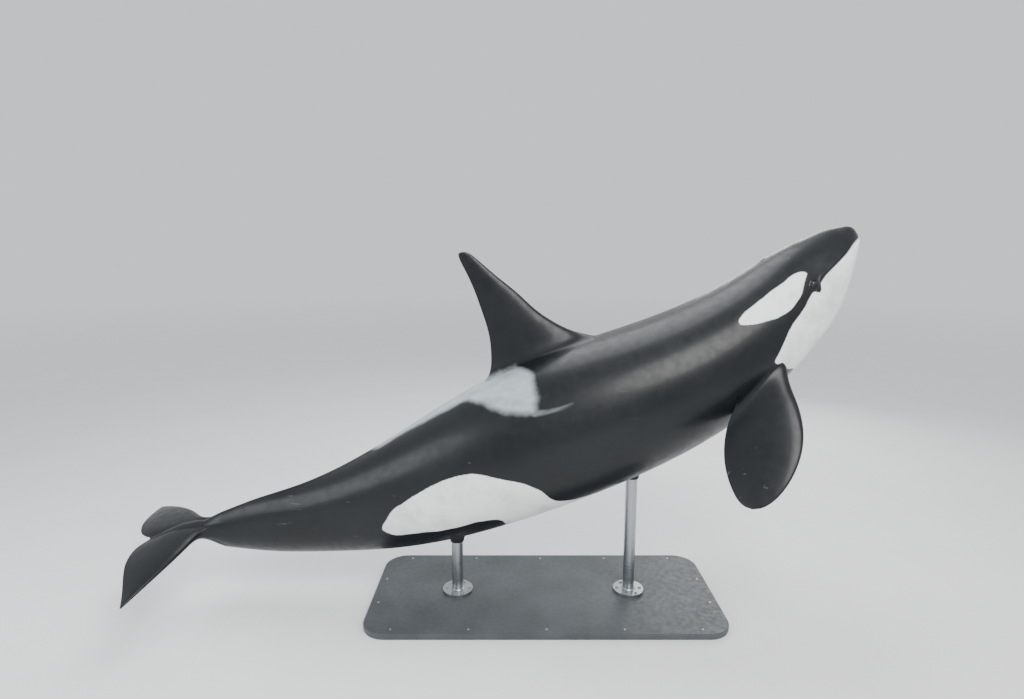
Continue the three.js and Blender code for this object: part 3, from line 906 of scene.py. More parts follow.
# Markings of the right side, as stations and angles. The left side mirrors them.
THROAT_REAR = (
    (0.0951, -1), (0.0993, 4.3), (0.1047, 4.3), (0.1211, -1), (0.1384, -5), (0.1551, -10),
    (0.1662, -14.5), (0.1779, -19.5), (0.187, -24.5), (0.1829, -35), (0.1655, -59), (0.178, -70),
    (0.21, -75), (0.28, -76), (0.36, -74), (0.43, -66), (0.47, -55),
)
FLANK_LOBE = (
    (0.4889, -44.6), (0.495, -31.4), (0.5023, -23), (0.5155, -14.3), (0.536, -5.6), (0.5504, 1.4),
    (0.5668, 6.1), (0.5864, 8.2), (0.6076, 8.7), (0.6393, 6.2), (0.6694, 1.1), (0.6828, -2.6),
    (0.699, -12), (0.7058, -20), (0.6986, -28), (0.6888, -32), (0.6623, -34.6), (0.6389, -38.3),
    (0.612, -39.4), (0.5845, -39.8), (0.5626, -46), (0.561, -62),
)
BELLY_TAIL = ((0.575, -72), (0.61, -76), (0.66, -79), (0.7, -83), (0.712, -90), (0.712, -130))
EYE_PATCH = (
    (0.0902, 26), (0.0963, 32.6), (0.1082, 35.3), (0.12, 35), (0.138, 35), (0.155, 34.7),
    (0.176, 33.5), (0.191, 30.8), (0.1965, 27.6), (0.1959, 23.6), (0.1805, 16.7), (0.1633, 10.8),
    (0.148, 7.5), (0.133, 6.8), (0.117, 10.3), (0.1067, 15.3), (0.0996, 20.2),
)
SADDLE = (
    (0.49, 130), (0.49, 96), (0.4738, 85), (0.4624, 76.5), (0.4506, 63), (0.4508, 48.5),
    (0.4562, 37.5), (0.466, 29), (0.483, 33.6), (0.5, 40), (0.5182, 52), (0.5297, 60),
    (0.5478, 68), (0.5698, 71), (0.6, 74), (0.6557, 79), (0.69, 86), (0.7, 130),
)
# The hook ahead of the saddle, and half its width at each point.
HOOK = ((0.466, 28.5), (0.452, 26), (0.4351, 24.4), (0.4187, 24.2))
HOOK_WIDTHS = (20, 11, 8, 3)
LIP_STATIONS = (0.0, 0.003, 0.0094, 0.02, 0.0338, 0.0568, 0.0738, 0.0859, 0.0895)


def white_belly():
    """The chin, throat, belly and flank lobes as one outline, closed beyond the belly's midline."""
    mouth = [(s, float(mouth_angle(s))) for s in LIP_STATIONS]
    start = [(-0.01, -130), (-0.01, 0)]
    return start + mouth + list(THROAT_REAR + FLANK_LOBE + BELLY_TAIL)


def rounded(outline, parts=4):
    """A closed outline with its corners eased by a curve through its points."""
    points = np.array(outline, float)
    before, after, next_after = (np.roll(points, shift, axis=0) for shift in (1, -1, -2))
    curve = []
    for t in np.arange(parts) / parts:
        curve.append(0.5 * (2 * points + (after - before) * t
                            + (2 * before - 5 * points + 4 * after - next_after) * t**2
                            + (3 * points - before - 3 * after + next_after) * t**3))
    return np.stack(curve, axis=1).reshape(-1, 2)


def skin_plane(station, angle):
    """Places on the skin as flat millimetres, and the radius that did it."""
    around = mean_radius(station, angle > 0)
    return station * LENGTH, np.radians(angle) * around, around


def piece_of_line(x, y, around, start, end):
    """How far places lie from a straight line between two points, and how far along it they are."""
    x0, x1 = start[0] * LENGTH, end[0] * LENGTH
    y0, y1 = np.radians(start[1]) * around, np.radians(end[1]) * around
    run = np.maximum((x1 - x0) ** 2 + (y1 - y0) ** 2, 1e-9)
    share = np.clip(((x - x0) * (x1 - x0) + (y - y0) * (y1 - y0)) / run, 0, 1)
    return np.hypot(x - mix(x0, x1, share), y - mix(y0, y1, share)), share


def inside_by(station, angle, outline):
    """Millimetres inside a closed outline on the skin, or outside it if negative."""
    x, y, around = skin_plane(station, angle)
    nearest = np.full(len(x), np.inf)
    inside = np.zeros(len(x), bool)
    for start, end in zip(outline, np.roll(outline, -1, axis=0)):
        nearest = np.minimum(nearest, piece_of_line(x, y, around, start, end)[0])
        run = end[0] - start[0]
        if abs(run) > 1e-9:
            crosses = (start[0] > station) != (end[0] > station)
            inside ^= crosses & (angle < start[1] + (station - start[0]) / run * (end[1] - start[1]))
    return np.where(inside, nearest, -nearest)


def near_line(station, angle, line, widths):
    """Millimetres inside a line that has its own half width at each point, or outside it if negative."""
    x, y, around = skin_plane(station, angle)
    best = np.full(len(x), -1e4)
    for start, end, width, next_width in zip(line, line[1:], widths, widths[1:]):
        away, share = piece_of_line(x, y, around, start, end)
        best = np.maximum(best, mix(width, next_width, share) - away)
    return best


# The white of the flukes' underside: how far it stays from their front, rear and tips.
UNDER_CHORD = 520.0
UNDER_FRONT = 62.0
UNDER_REAR = 75.0
UNDER_REACH = 560.0
MIDLINE_FRONT = 70.0
# How far the saddle's grey climbs the dorsal fin, and how fast it ends there.
SADDLE_CLIMB = 10.0
SADDLE_FADE = 1.2
MARKINGS = ("white_mm", "saddle_mm", "hook_mm", "mouth_mm", "under_mm", "lower")


def markings(skin):
    """Millimetres inside each marking for every vertex, and which side of the flukes it is on."""
    station, angle, reach, chord, side, part = (
        np.array([v[getattr(skin, name)] for v in skin.bm.verts], float)
        for name in (*MEASURES, "part"))
    angle = mirrored(angle)
    white = np.maximum(inside_by(station, angle, rounded(white_belly())),
                       inside_by(station, angle, rounded(EYE_PATCH)))
    grey = inside_by(station, angle, rounded(SADDLE))
    hook = near_line(station, angle, HOOK, HOOK_WIDTHS)
    on_fin = np.isin(part, (DORSAL, FLIPPER, FLUKE))
    white = np.where(on_fin, np.minimum(white, -reach), white)
    grey = np.where(on_fin, np.minimum(grey, SADDLE_CLIMB - SADDLE_FADE * reach), grey)
    over_mouth = np.radians(angle - mouth_angle(station)) * mean_radius(station, angle > 0)
    mouth = np.hypot(over_mouth, np.maximum(0, (station - MOUTH_CORNER) * LENGTH))
    on_fluke = part == FLUKE
    front = np.where(on_fluke, chord * UNDER_CHORD - UNDER_FRONT,
                     (station - FLUKE_STATION) * LENGTH - MIDLINE_FRONT)
    rear = np.where(on_fluke, (1 - chord) * UNDER_CHORD, (TAIL_END - station) * LENGTH) - UNDER_REAR
    tip = np.where(on_fluke, UNDER_REACH - reach, np.inf)
    lower = np.where(on_fluke, side, np.sin(np.radians(angle)))
    under = np.minimum(np.minimum(front, rear), tip)
    return dict(zip(MARKINGS, (white, grey, hook, mouth, under, lower)))


# Colours and finishes.

def linear(hex_colour):
    """An sRGB hex colour as linear red, green and blue."""
    parts = [int(hex_colour[i:i + 2], 16) / 255 for i in (1, 3, 5)]
    return tuple(p / 12.92 if p <= 0.04045 else ((p + 0.055) / 1.055) ** 2.4 for p in parts)


# How a Map Range node eases its steps, and how a Mix node blends colours.
SMOOTHLY = {"interpolation_type": "SMOOTHSTEP"}
COLOUR_MIX = {"data_type": "RGBA", "output": 2}


class Finish:
    """A material while its nodes are added.

    A noise's Scale is its cells in a metre, so 240 makes a grain of about 4 mm.
    """

    def __init__(self, name):
        self.material = bpy.data.materials.new(name)
        self.material.use_nodes = True
        self.tree = self.material.node_tree
        self.shader = self.tree.nodes["Principled BSDF"]
        self.place = self.node("TexCoord", output="Object")

    def node(self, kind, inputs=(), output=0, **settings):
        """Adds a node with its settings, and fills its inputs, given by name or in their order."""
        node = self.tree.nodes.new(f"ShaderNode{kind}")
        for name, value in settings.items():
            setattr(node, name, value)
        self.feed(node, inputs if isinstance(inputs, dict) else dict(enumerate(inputs)))
        return node.outputs[output]

    def feed(self, node, inputs):
        """Fills a node's inputs with values or with other nodes' outputs."""
        for name, value in inputs.items():
            if isinstance(value, bpy.types.NodeSocket):
                self.tree.links.new(value, node.inputs[name])
            else:
                node.inputs[name].default_value = value


def rgba(colour):
    """A colour as the four parts that a socket takes."""
    return (*colour[:3], 1.0)


def whale_skin(colours):
    """Wet whale skin: smooth satin black with crisp white patches and a smoky grey saddle."""
    skin = Finish("whale_skin")
    node, place = skin.node, skin.place
    measured = {name: node("Attribute", output="Fac", attribute_name=name) for name in MARKINGS}

    # The patches' edges waver over a hand's breadth, 140 mm, and fray over a fingertip, 17 mm.
    waver = node("TexNoise", {"Vector": place, "Scale": 7.0, "Detail": 3.0})
    waver = node("Math", (waver, 22.0, -11.0), operation="MULTIPLY_ADD")
    fray = node("TexNoise", {"Vector": place, "Scale": 60.0, "Detail": 4.0, "Roughness": 0.6})
    fray = node("Math", (fray, 8.0, -4.0), operation="MULTIPLY_ADD")
    ragged = node("Math", (waver, fray), operation="ADD")
    at_mouth = node("MapRange", (measured["mouth_mm"], 8.0, 60.0), **SMOOTHLY)
    ragged = node("Math", (ragged, at_mouth), operation="MULTIPLY")
    white = node("Math", (measured["white_mm"], ragged), operation="ADD")
    white = node("MapRange", (white, -4.0, 5.0), **SMOOTHLY)

    # The saddle is smoky: its edge is soft and its grey is streaked along the body.
    smoke = node("TexNoise", {"Vector": place, "Scale": 4.5, "Detail": 4.0, "Roughness": 0.6})
    smoke = node("Math", (smoke, 90.0, -45.0), operation="MULTIPLY_ADD")
    saddle = node("Math", (measured["saddle_mm"], smoke), operation="ADD")
    saddle = node("MapRange", (saddle, -34.0, 42.0), **SMOOTHLY)
    hook = node("MapRange", (measured["hook_mm"], -14.0, 9.0, 0.0, 0.34), **SMOOTHLY)
    saddle = node("Math", (saddle, hook), operation="MAXIMUM")
    streak = node("Mapping", {"Vector": place, "Rotation": (0, 0.43, 0), "Scale": (3, 11, 11)})
    streak = node("TexNoise", {"Vector": streak, "Scale": 1.0, "Detail": 3.0})
    streak = node("MapRange", (streak, 0.3, 0.72, 0.84, 1.0), **SMOOTHLY)
    saddle = node("Math", (saddle, streak), operation="MULTIPLY")

    # The flukes' white underside has a smoky rim.
    below = node("MapRange", (measured["lower"], -0.3, 0.1, 1.0, 0.0), **SMOOTHLY)
    rim = node("Math", (measured["under_mm"], smoke), operation="ADD")
    rim = node("MapRange", (rim, -20.0, 45.0), **SMOOTHLY)
    underside = node("Math", (below, rim), operation="MULTIPLY")
    white = node("Math", (white, underside), operation="MAXIMUM")

    # Old tooth rakes and scrapes: thin pale lines in a few places, about 30 mm apart.
    scrape = node("Mapping", {"Vector": place, "Rotation": (0.2, 0.9, 0.3), "Scale": (2.2, 30, 38)})
    scrape = node("TexNoise", {"Vector": scrape, "Scale": 1.0, "Detail": 2.0, "Roughness": 0.4})
    scrape = node("MapRange", (scrape, 0.70, 0.76), **SMOOTHLY)
    where = node("TexNoise", {"Vector": place, "Scale": 1.4, "Detail": 2.0})
    where = node("MapRange", (where, 0.5, 0.66), **SMOOTHLY)
    where = node("Math", (where, 0.5), operation="MULTIPLY")
    scrape = node("Math", (scrape, where), operation="MULTIPLY")

    # The black has clouds half a metre wide and specks of 6 mm.
    cloud = node("TexNoise", {"Vector": place, "Scale": 2.2, "Detail": 4.0, "Roughness": 0.55})
    cloud = node("MapRange", (cloud, 0.3, 0.7), **SMOOTHLY)
    clouded = rgba(colours.black_cloud)
    black = node("Mix", {"Factor": cloud, "A": rgba(colours.black), "B": clouded}, **COLOUR_MIX)
    speck = node("TexNoise", {"Vector": place, "Scale": 160.0, "Detail": 2.0})
    speck = node("MapRange", (speck, 0.35, 0.7), **SMOOTHLY)
    speck = node("Math", (speck, 0.35), operation="MULTIPLY")
    black = node("Mix", {"Factor": speck, "A": black, "B": clouded}, **COLOUR_MIX)
    black = node("Mix", {"Factor": scrape, "A": black, "B": rgba(colours.scrape)}, **COLOUR_MIX)

    # The grey varies over 90 mm. The white has stains of 200 mm and a mottle of 8 mm.
    tone = node("TexNoise", {"Vector": place, "Scale": 11.0, "Detail": 4.0})
    dark, light = rgba(colours.saddle), rgba(colours.saddle_pale)
    grey = node("Mix", {"Factor": tone, "A": dark, "B": light}, **COLOUR_MIX)
    stain = node("TexNoise", {"Vector": place, "Scale": 5.0, "Detail": 5.0, "Roughness": 0.6})
    stain = node("MapRange", (stain, 0.42, 0.75), **SMOOTHLY)
    stained = rgba(colours.white_stain)
    pale = node("Mix", {"Factor": stain, "A": rgba(colours.white), "B": stained}, **COLOUR_MIX)
    mottle = node("TexNoise", {"Vector": place, "Scale": 120.0, "Detail": 3.0})
    mottle = node("MapRange", (mottle, 0.5, 0.8, 0.0, 0.35), **SMOOTHLY)
    pale = node("Mix", {"Factor": mottle, "A": pale, "B": stained}, **COLOUR_MIX)
    colour = node("Mix", {"Factor": saddle, "A": black, "B": grey}, **COLOUR_MIX)
    colour = node("Mix", {"Factor": white, "A": colour, "B": pale}, **COLOUR_MIX)

    # The wet sheen is uneven over 55 mm, and the white is a little duller.
    rough = node("TexNoise", {"Vector": place, "Scale": 18.0, "Detail": 4.0})
    rough = node("MapRange", (rough, 0.3, 0.75, 0.33, 0.46), **SMOOTHLY)
    rough = node("Math", (white, 0.05, rough), operation="MULTIPLY_ADD")

    # Skin grain about 4 mm across, over faint swells a palm wide.
    grain = node("TexNoise", {"Vector": place, "Scale": 240.0, "Detail": 3.0, "Roughness": 0.6})
    swell = node("TexNoise", {"Vector": place, "Scale": 9.0, "Detail": 2.0})
    height = node("Math", (swell, 6.0, grain), operation="MULTIPLY_ADD")
    height = node("Math", (scrape, -1.5, height), operation="MULTIPLY_ADD")
    bumps = node("Bump", {"Strength": 0.35, "Distance": 0.0007, "Height": height})
    skin.feed(skin.shader, {"Base Color": colour, "Roughness": rough, "Normal": bumps, "IOR": 1.36,
                            "Coat Weight": 0.12, "Coat Roughness": 0.18})
    return skin.material


# A point's distance from the middle of an eye along the head and across it, and the pupil's shape.
EYE_MEASURES = ("ahead_mm", "up_mm")
PUPIL_FLATNESS = 0.62
PUPIL = (0.002, 0.002, 0.0025, 1.0)


def wet_eye(colours):
    """A wet eye: a dark brown iris with a long pupil under a clear, sharp gloss."""
    eye = Finish("wet_eye")
    node = eye.node
    along, across = (node("Attribute", output="Fac", attribute_name=name) for name in EYE_MEASURES)
    square = node("Math", (across, across), operation="MULTIPLY")
    out = node("Math", (along, along, square), operation="MULTIPLY_ADD")
    out = node("Math", (out,), operation="SQRT")
    flat = node("Math", (along, PUPIL_FLATNESS), operation="MULTIPLY")
    slot = node("Math", (flat, flat, square), operation="MULTIPLY_ADD")
    slot = node("Math", (slot,), operation="SQRT")

    # Fibres of 2 mm in the iris, a dark rim round it, and the stained white past it.
    fibres = node("TexNoise", {"Vector": eye.place, "Scale": 420.0, "Detail": 4.0, "Roughness": 0.7})
    dark, light = rgba(colours.iris), rgba(colours.iris_pale)
    iris = node("Mix", {"Factor": fibres, "A": dark, "B": light}, **COLOUR_MIX)
    rim = node("MapRange", (out, 10.2, 12.6), **SMOOTHLY)
    colour = node("Mix", {"Factor": rim, "A": iris, "B": rgba(colours.eye_rim)}, **COLOUR_MIX)
    white = node("Math", (fibres, 4.0, out), operation="MULTIPLY_ADD")
    white = node("MapRange", (white, 17.5, 22.0), **SMOOTHLY)
    colour = node("Mix", {"Factor": white, "A": colour, "B": rgba(colours.eye_white)}, **COLOUR_MIX)
    pupil = node("MapRange", (slot, 4.6, 5.8), **SMOOTHLY)
    colour = node("Mix", {"Factor": pupil, "A": PUPIL, "B": colour}, **COLOUR_MIX)
    eye.feed(eye.shader, {"Base Color": colour, "Roughness": 0.18, "IOR": 1.38,
                          "Coat Weight": 1.0, "Coat Roughness": 0.02})
    return eye.material


def painted_plywood(colours):
    """Plywood with rolled satin paint: a stipple of 3 mm, the wood's grain of 14 mm and a few scuffs."""
    wood = Finish("painted_plywood")
    node, place = wood.node, wood.place
    worn = rgba(colours.paint_worn)
    patch = node("TexNoise", {"Vector": place, "Scale": 3.0, "Detail": 4.0})
    patch = node("MapRange", (patch, 0.3, 0.7), **SMOOTHLY)
    paint = node("Mix", {"Factor": patch, "A": rgba(colours.paint), "B": worn}, **COLOUR_MIX)
    scuff = node("Mapping", {"Vector": place, "Rotation": (0, 0, 0.5), "Scale": (4, 60, 20)})
    scuff = node("TexNoise", {"Vector": scuff, "Scale": 1.0, "Detail": 3.0})
    scuff = node("MapRange", (scuff, 0.68, 0.78, 0.0, 0.35), **SMOOTHLY)
    paint = node("Mix", {"Factor": scuff, "A": paint, "B": worn}, **COLOUR_MIX)
    rough = node("TexNoise", {"Vector": place, "Scale": 25.0, "Detail": 3.0})
    rough = node("MapRange", (rough, 0.3, 0.7, 0.42, 0.58), **SMOOTHLY)
    stipple = node("TexNoise", {"Vector": place, "Scale": 330.0, "Detail": 2.0})
    grain = node("Mapping", {"Vector": place, "Scale": (2.0, 70.0, 70.0)})
    grain = node("TexNoise", {"Vector": grain, "Scale": 1.0, "Detail": 3.0})
    height = node("Math", (grain, 0.6, stipple), operation="MULTIPLY_ADD")
    bumps = node("Bump", {"Strength": 0.4, "Distance": 0.0006, "Height": height})
    wood.feed(wood.shader, {"Base Color": paint, "Roughness": rough, "Normal": bumps})
    return wood.material


def brushed_steel():
    """Solid steel bar, brushed round its length: pale grey metal with hairlines of 1 mm."""
    steel = Finish("brushed_steel")
    node = steel.node
    dark, light = rgba(linear("#8f9499")), rgba(linear("#b4b9bd"))
    hair = node("Mapping", {"Vector": steel.place, "Scale": (12, 12, 900)})
    hair = node("TexNoise", {"Vector": hair, "Scale": 1.0, "Detail": 3.0, "Roughness": 0.6})
    tone = node("Mix", {"Factor": hair, "A": dark, "B": light}, **COLOUR_MIX)
    rough = node("MapRange", (hair, 0.25, 0.75, 0.24, 0.4), **SMOOTHLY)
    bumps = node("Bump", {"Strength": 0.25, "Distance": 0.0002, "Height": hair})
    steel.feed(steel.shader, {"Base Color": tone, "Roughness": rough, "Normal": bumps, "Metallic": 1.0})
    return steel.material


def zinc_plate():
    """Zinc-plated bolts: bright metal with a faint warm bloom in patches of 17 mm."""
    zinc = Finish("zinc_plate")
    node = zinc.node
    cool, warm = rgba(linear("#a9adae")), rgba(linear("#c3bfb2"))
    bloom = node("TexNoise", {"Vector": zinc.place, "Scale": 60.0, "Detail": 3.0})
    tone = node("Mix", {"Factor": bloom, "A": cool, "B": warm}, **COLOUR_MIX)
    rough = node("MapRange", (bloom, 0.3, 0.7, 0.25, 0.38), **SMOOTHLY)
    zinc.feed(zinc.shader, {"Base Color": tone, "Roughness": rough, "Metallic": 1.0})
    return zinc.material


def moulded_rubber():
    """Moulded black rubber pads between the rods and the skin: dull and faintly dusty."""
    rubber = Finish("moulded_rubber")
    node, place = rubber.node, rubber.place
    clean, dusty = rgba(linear("#17181a")), rgba(linear("#2c2e30"))
    dust = node("TexNoise", {"Vector": place, "Scale": 30.0, "Detail": 4.0})
    dust = node("MapRange", (dust, 0.4, 0.8), **SMOOTHLY)
    tone = node("Mix", {"Factor": dust, "A": clean, "B": dusty}, **COLOUR_MIX)
    pores = node("TexNoise", {"Vector": place, "Scale": 300.0, "Detail": 2.0})
    bumps = node("Bump", {"Strength": 0.4, "Distance": 0.0004, "Height": pores})
    rubber.feed(rubber.shader, {"Base Color": tone, "Roughness": 0.72, "Normal": bumps})
    return rubber.material


def studio_floor(colours):
    """A pale matt studio floor, which fades into the backdrop far from the animal."""
    floor = Finish("studio_floor")
    node, place = floor.node, floor.place
    darker = tuple(part * 0.97 for part in colours.floor)
    tone = node("TexNoise", {"Vector": place, "Scale": 1.2, "Detail": 3.0})
    tone = node("MapRange", (tone, 0.3, 0.7), **SMOOTHLY)
    tone = node("Mix", {"Factor": tone, "A": rgba(colours.floor), "B": rgba(darker)}, **COLOUR_MIX)
    floor.feed(floor.shader, {"Base Color": tone, "Roughness": 0.7})
    away = node("VectorMath", (place,), output="Value", operation="LENGTH")
    away = node("MapRange", (away, 6.0, 36.0), **SMOOTHLY)
    glow = node("Emission", {"Color": rgba(colours.backdrop)})
    faded = node("MixShader", (away, floor.shader.outputs[0], glow))
    floor.feed(floor.tree.nodes["Material Output"], {"Surface": faded})
    return floor.material


# Turning meshes into pieces.

def finish_mesh(bm, name, material, smooth=True):
    """Turns a bmesh in millimetres into an object in metres at the origin."""
    bmesh.ops.transform(bm, matrix=Matrix.Scale(MM, 4), verts=bm.verts)
    for face in bm.faces:
        face.smooth = smooth
    mesh = bpy.data.meshes.new(name)
    bm.to_mesh(mesh)
    bm.free()
    mesh.materials.append(material)
    piece = bpy.data.objects.new(name, mesh)
    bpy.context.scene.collection.objects.link(piece)
    return piece


def add_measure(mesh, name, values):
    """Keeps a number with each vertex, for the material to read."""
    layer = mesh.attributes.new(name, "FLOAT", "POINT")
    layer.data.foreach_set("value", np.asarray(values, np.float32))


# Vertices that meet at a fin's tip are merged within this distance.
TIP_MERGE = 0.005


def model_skin(colours):
    """The whole skin as one closed mesh, with its markings' measures."""
    skin = SkinMesh()
    grow_dorsal_fin(skin)
    for _, side in SIDES:
        grow_flipper(skin, side)
        grow_fluke(skin, side)
        grow_eyelids(skin, side)
    grow_blowhole(skin)
    smooth_roots(skin)
    bmesh.ops.remove_doubles(skin.bm, verts=skin.bm.verts, dist=TIP_MERGE)
    bmesh.ops.recalc_face_normals(skin.bm, faces=skin.bm.faces)
    measures = markings(skin)
    piece = finish_mesh(skin.bm, "orca_skin", whale_skin(colours))
    for name, values in measures.items():
        add_measure(piece.data, name, values)
    for name in LABELS + MEASURES:
        piece.data.attributes.remove(piece.data.attributes[name])
    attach(piece, "root")
    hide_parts(*FLESH_NODES)


# How far the eye's clear front stands out, and where round its axis that fades.
CORNEA_HEIGHT = 1.3
CORNEA_START = 5.0
CORNEA_END = 13.5


def model_eye(name, side, material):
    """An eyeball with a slightly raised clear front, set where the solid one is."""
    _, ahead, up, out = eye_place(side)
    middle = eyeball_middle(side)
    bm = bmesh.new()
    bmesh.ops.create_uvsphere(bm, u_segments=48, v_segments=32, radius=EYE_RADIUS)
    turn = Matrix((ahead, np.cross(out, ahead), out)).transposed().to_4x4()
    bmesh.ops.transform(bm, matrix=turn, verts=bm.verts)
    for vert in bm.verts:
        off_axis = vert.co.cross(Vector(out)).length
        if vert.co.dot(Vector(out)) > 0:
            fade = float(1 - smooth_step(off_axis, CORNEA_START, CORNEA_END))
            vert.co += Vector(out) * CORNEA_HEIGHT * fade
    places = np.array([v.co for v in bm.verts])
    bmesh.ops.translate(bm, verts=bm.verts, vec=middle)
    bmesh.ops.recalc_face_normals(bm, faces=bm.faces)
    piece = finish_mesh(bm, f"eyeball_{name}", material)
    for measure, axis in zip(EYE_MEASURES, (ahead, up)):
        add_measure(piece.data, measure, places @ axis)
    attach(piece, "root")
    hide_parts(f"eye_{name}")


# The stand's rods, and the station of the belly over each.
ROD_NODES = {"stand_rod_front": 0.34, "stand_rod_rear": 0.6}
ROD_RADIUS = 45.0
FOOT_TOP = 69.3
BASE_TOP = 45.0

# The stand's fittings.
BOLTS = 6
BOLT_CIRCLE = 92.0
BOLT_WIDTH = 19
BOLT_HEIGHT = 10
WASHER_HEIGHT = 2.5
# Weld: how far out of the rod's side, and how high over the foot. Its ripple is a row of small waves.
WELD = ((-2, -1), (9, -1), (8.2, 1.2), (5.4, 3.2), (3, 5.6), (0.9, 8.6), (-2, 9.2), (-2, -1))
WELD_WAVES = 36
WELD_WAVE_HEIGHT = 0.7
# Pad: how far out of the rod's side, and how high over the lowest skin. Its top is sunk into the skin.
PAD = ((-1, -46), (7, -46), (10, -42), (10, -24), (16, -16), (18, -10))
PAD_OUT = 18
PAD_SINK = 12
# Screw: radius, and height over the base.
SCREW = ((0, -2), (9, -2), (9, 0.4), (8, 1.0), (2.6, 1.0), (2.4, -0.6), (0, -0.6))
SCREW_INSET = 60.0
SCREW_CORNER = 160
SIDE_SCREWS = 5


def merged(bm):
    """Joins doubled vertices, then turns the faces outwards."""
    bmesh.ops.remove_doubles(bm, verts=bm.verts, dist=0.01)
    bmesh.ops.recalc_face_normals(bm, faces=bm.faces)


def soften(bm, size, angle=30.0):
    """Bevels the edges that turn by more than an angle."""
    limit = math.radians(angle)
    edges = [e for e in bm.edges if e.is_manifold and e.calc_face_angle(0) > limit]
    bmesh.ops.bevel(bm, geom=edges, offset=size, offset_type="OFFSET", affect="EDGES",
                    segments=2, profile=0.5, material=-1)


def spun(profile, steps=48):
    """Spins a profile of radii and heights round the vertical axis."""
    bm = bmesh.new()
    verts = [bm.verts.new((radius, 0, height)) for radius, height in profile]
    edges = [bm.edges.new(pair) for pair in zip(verts, verts[1:])]
    bmesh.ops.spin(bm, geom=verts + edges, cent=(0, 0, 0), axis=(0, 0, 1), angle=math.tau,
                   steps=steps, use_merge=True, use_duplicate=False)
    merged(bm)
    return bm


def join_copy(target, source, places):
    """Adds copies of a small bmesh to another one, moved to each place."""
    small = bpy.data.meshes.new("small")
    source.to_mesh(small)
    for place in places:
        known = len(target.verts)
        target.from_mesh(small)
        target.verts.ensure_lookup_table()
        bmesh.ops.translate(target, verts=target.verts[known:], vec=place)
    bpy.data.meshes.remove(small)


def hex_bolt(head_width, head_height):
    """A hexagon bolt's head on its washer, with its underside at height 0."""
    bm = bmesh.new()
    parts = ((32, head_width * 0.62, WASHER_HEIGHT, WASHER_HEIGHT / 2),
             (6, head_width * 0.577, head_height, WASHER_HEIGHT + head_height / 2))
    for segments, radius, depth, middle in parts:
        cone = bmesh.ops.create_cone(bm, cap_ends=True, segments=segments,
                                     radius1=radius, radius2=radius, depth=depth)
        bmesh.ops.translate(bm, verts=cone["verts"], vec=(0, 0, middle))
    soften(bm, 0.8)
    bmesh.ops.recalc_face_normals(bm, faces=bm.faces)
    return bm


def foot_bolts(centres, material):
    """A ring of bolts through each rod's foot."""
    bm = bmesh.new()
    bolt = hex_bolt(BOLT_WIDTH, BOLT_HEIGHT)
    turns = [math.tau * k / BOLTS for k in range(BOLTS)]
    join_copy(bm, bolt, [(x + BOLT_CIRCLE * math.cos(turn), y + BOLT_CIRCLE * math.sin(turn), FOOT_TOP)
                         for x, y in centres for turn in turns])
    bolt.free()
    return finish_mesh(bm, "stand_foot_bolts", material, smooth=False)


def weld_beads(centres, material):
    """The fillet welds where each rod meets its foot."""
    ring = spun([(ROD_RADIUS + out, FOOT_TOP + up) for out, up in WELD], 72)
    for vert in ring.verts:
        turn = math.atan2(vert.co.y, vert.co.x)
        out = Vector((vert.co.x, vert.co.y, 0)).normalized()
        if vert.co.xy.length > ROD_RADIUS:
            vert.co += out * WELD_WAVE_HEIGHT * math.sin(turn * WELD_WAVES)
    bm = bmesh.new()
    join_copy(bm, ring, [(x, y, 0) for x, y in centres])
    ring.free()
    return finish_mesh(bm, "stand_welds", material)


def rubber_pads(centres, material):
    """A rubber cup at the top of each rod, sunk a little way into the skin."""
    bm = bmesh.new()
    for (x, y), station in zip(centres, ROD_NODES.values()):
        lowest, highest = belly_heights(station, x, y)
        lip = [(ROD_RADIUS + out, lowest + up) for out, up in PAD]
        lip += [(ROD_RADIUS + PAD_OUT, highest + PAD_SINK), (lip[0][0], highest + PAD_SINK), lip[0]]
        cup = spun(lip, 64)
        join_copy(bm, cup, [(x, y, 0)])
        cup.free()
    return finish_mesh(bm, "stand_pads", material)


def belly_heights(station, x, y):
    """The lowest and highest skin round a rod's top."""
    stations = np.linspace(station - 0.05, station + 0.05, 60)
    stations, angles = np.meshgrid(stations, np.arange(200, 341, 2))
    points = body_point(stations.ravel(), angles.ravel())
    near = np.hypot(points[:, 0] - x, points[:, 1] - y) < ROD_RADIUS + PAD_OUT
    heights = points[near, 2]
    return float(heights.min()), float(heights.max())


def base_screws(material):
    """Countersunk screws along the base's long sides and ends."""
    bm = bmesh.new()
    screw = spun(SCREW, 28)
    _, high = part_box("stand_base")
    x = high.x / MM - SCREW_INSET
    y = high.y / MM - SCREW_INSET
    places = []
    for k in range(SIDE_SCREWS):
        across = mix(SCREW_CORNER - x, x - SCREW_CORNER, k / (SIDE_SCREWS - 1))
        places += [(across, y, BASE_TOP), (across, -y, BASE_TOP)]
    for end in (-x, x):
        places += [(end, -y / 3, BASE_TOP), (end, y / 3, BASE_TOP)]
    join_copy(bm, screw, places)
    screw.free()
    return finish_mesh(bm, "stand_screws", material)


def rod_centres():
    """Where each rod stands on the base."""
    boxes = [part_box(node) for node in ROD_NODES]
    return [((low.x + high.x) / 2 / MM, (low.y + high.y) / 2 / MM) for low, high in boxes]


def paint_node(node, material):
    """Gives a solid of the frame a finish."""
    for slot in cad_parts[node].material_slots:
        slot.material = material


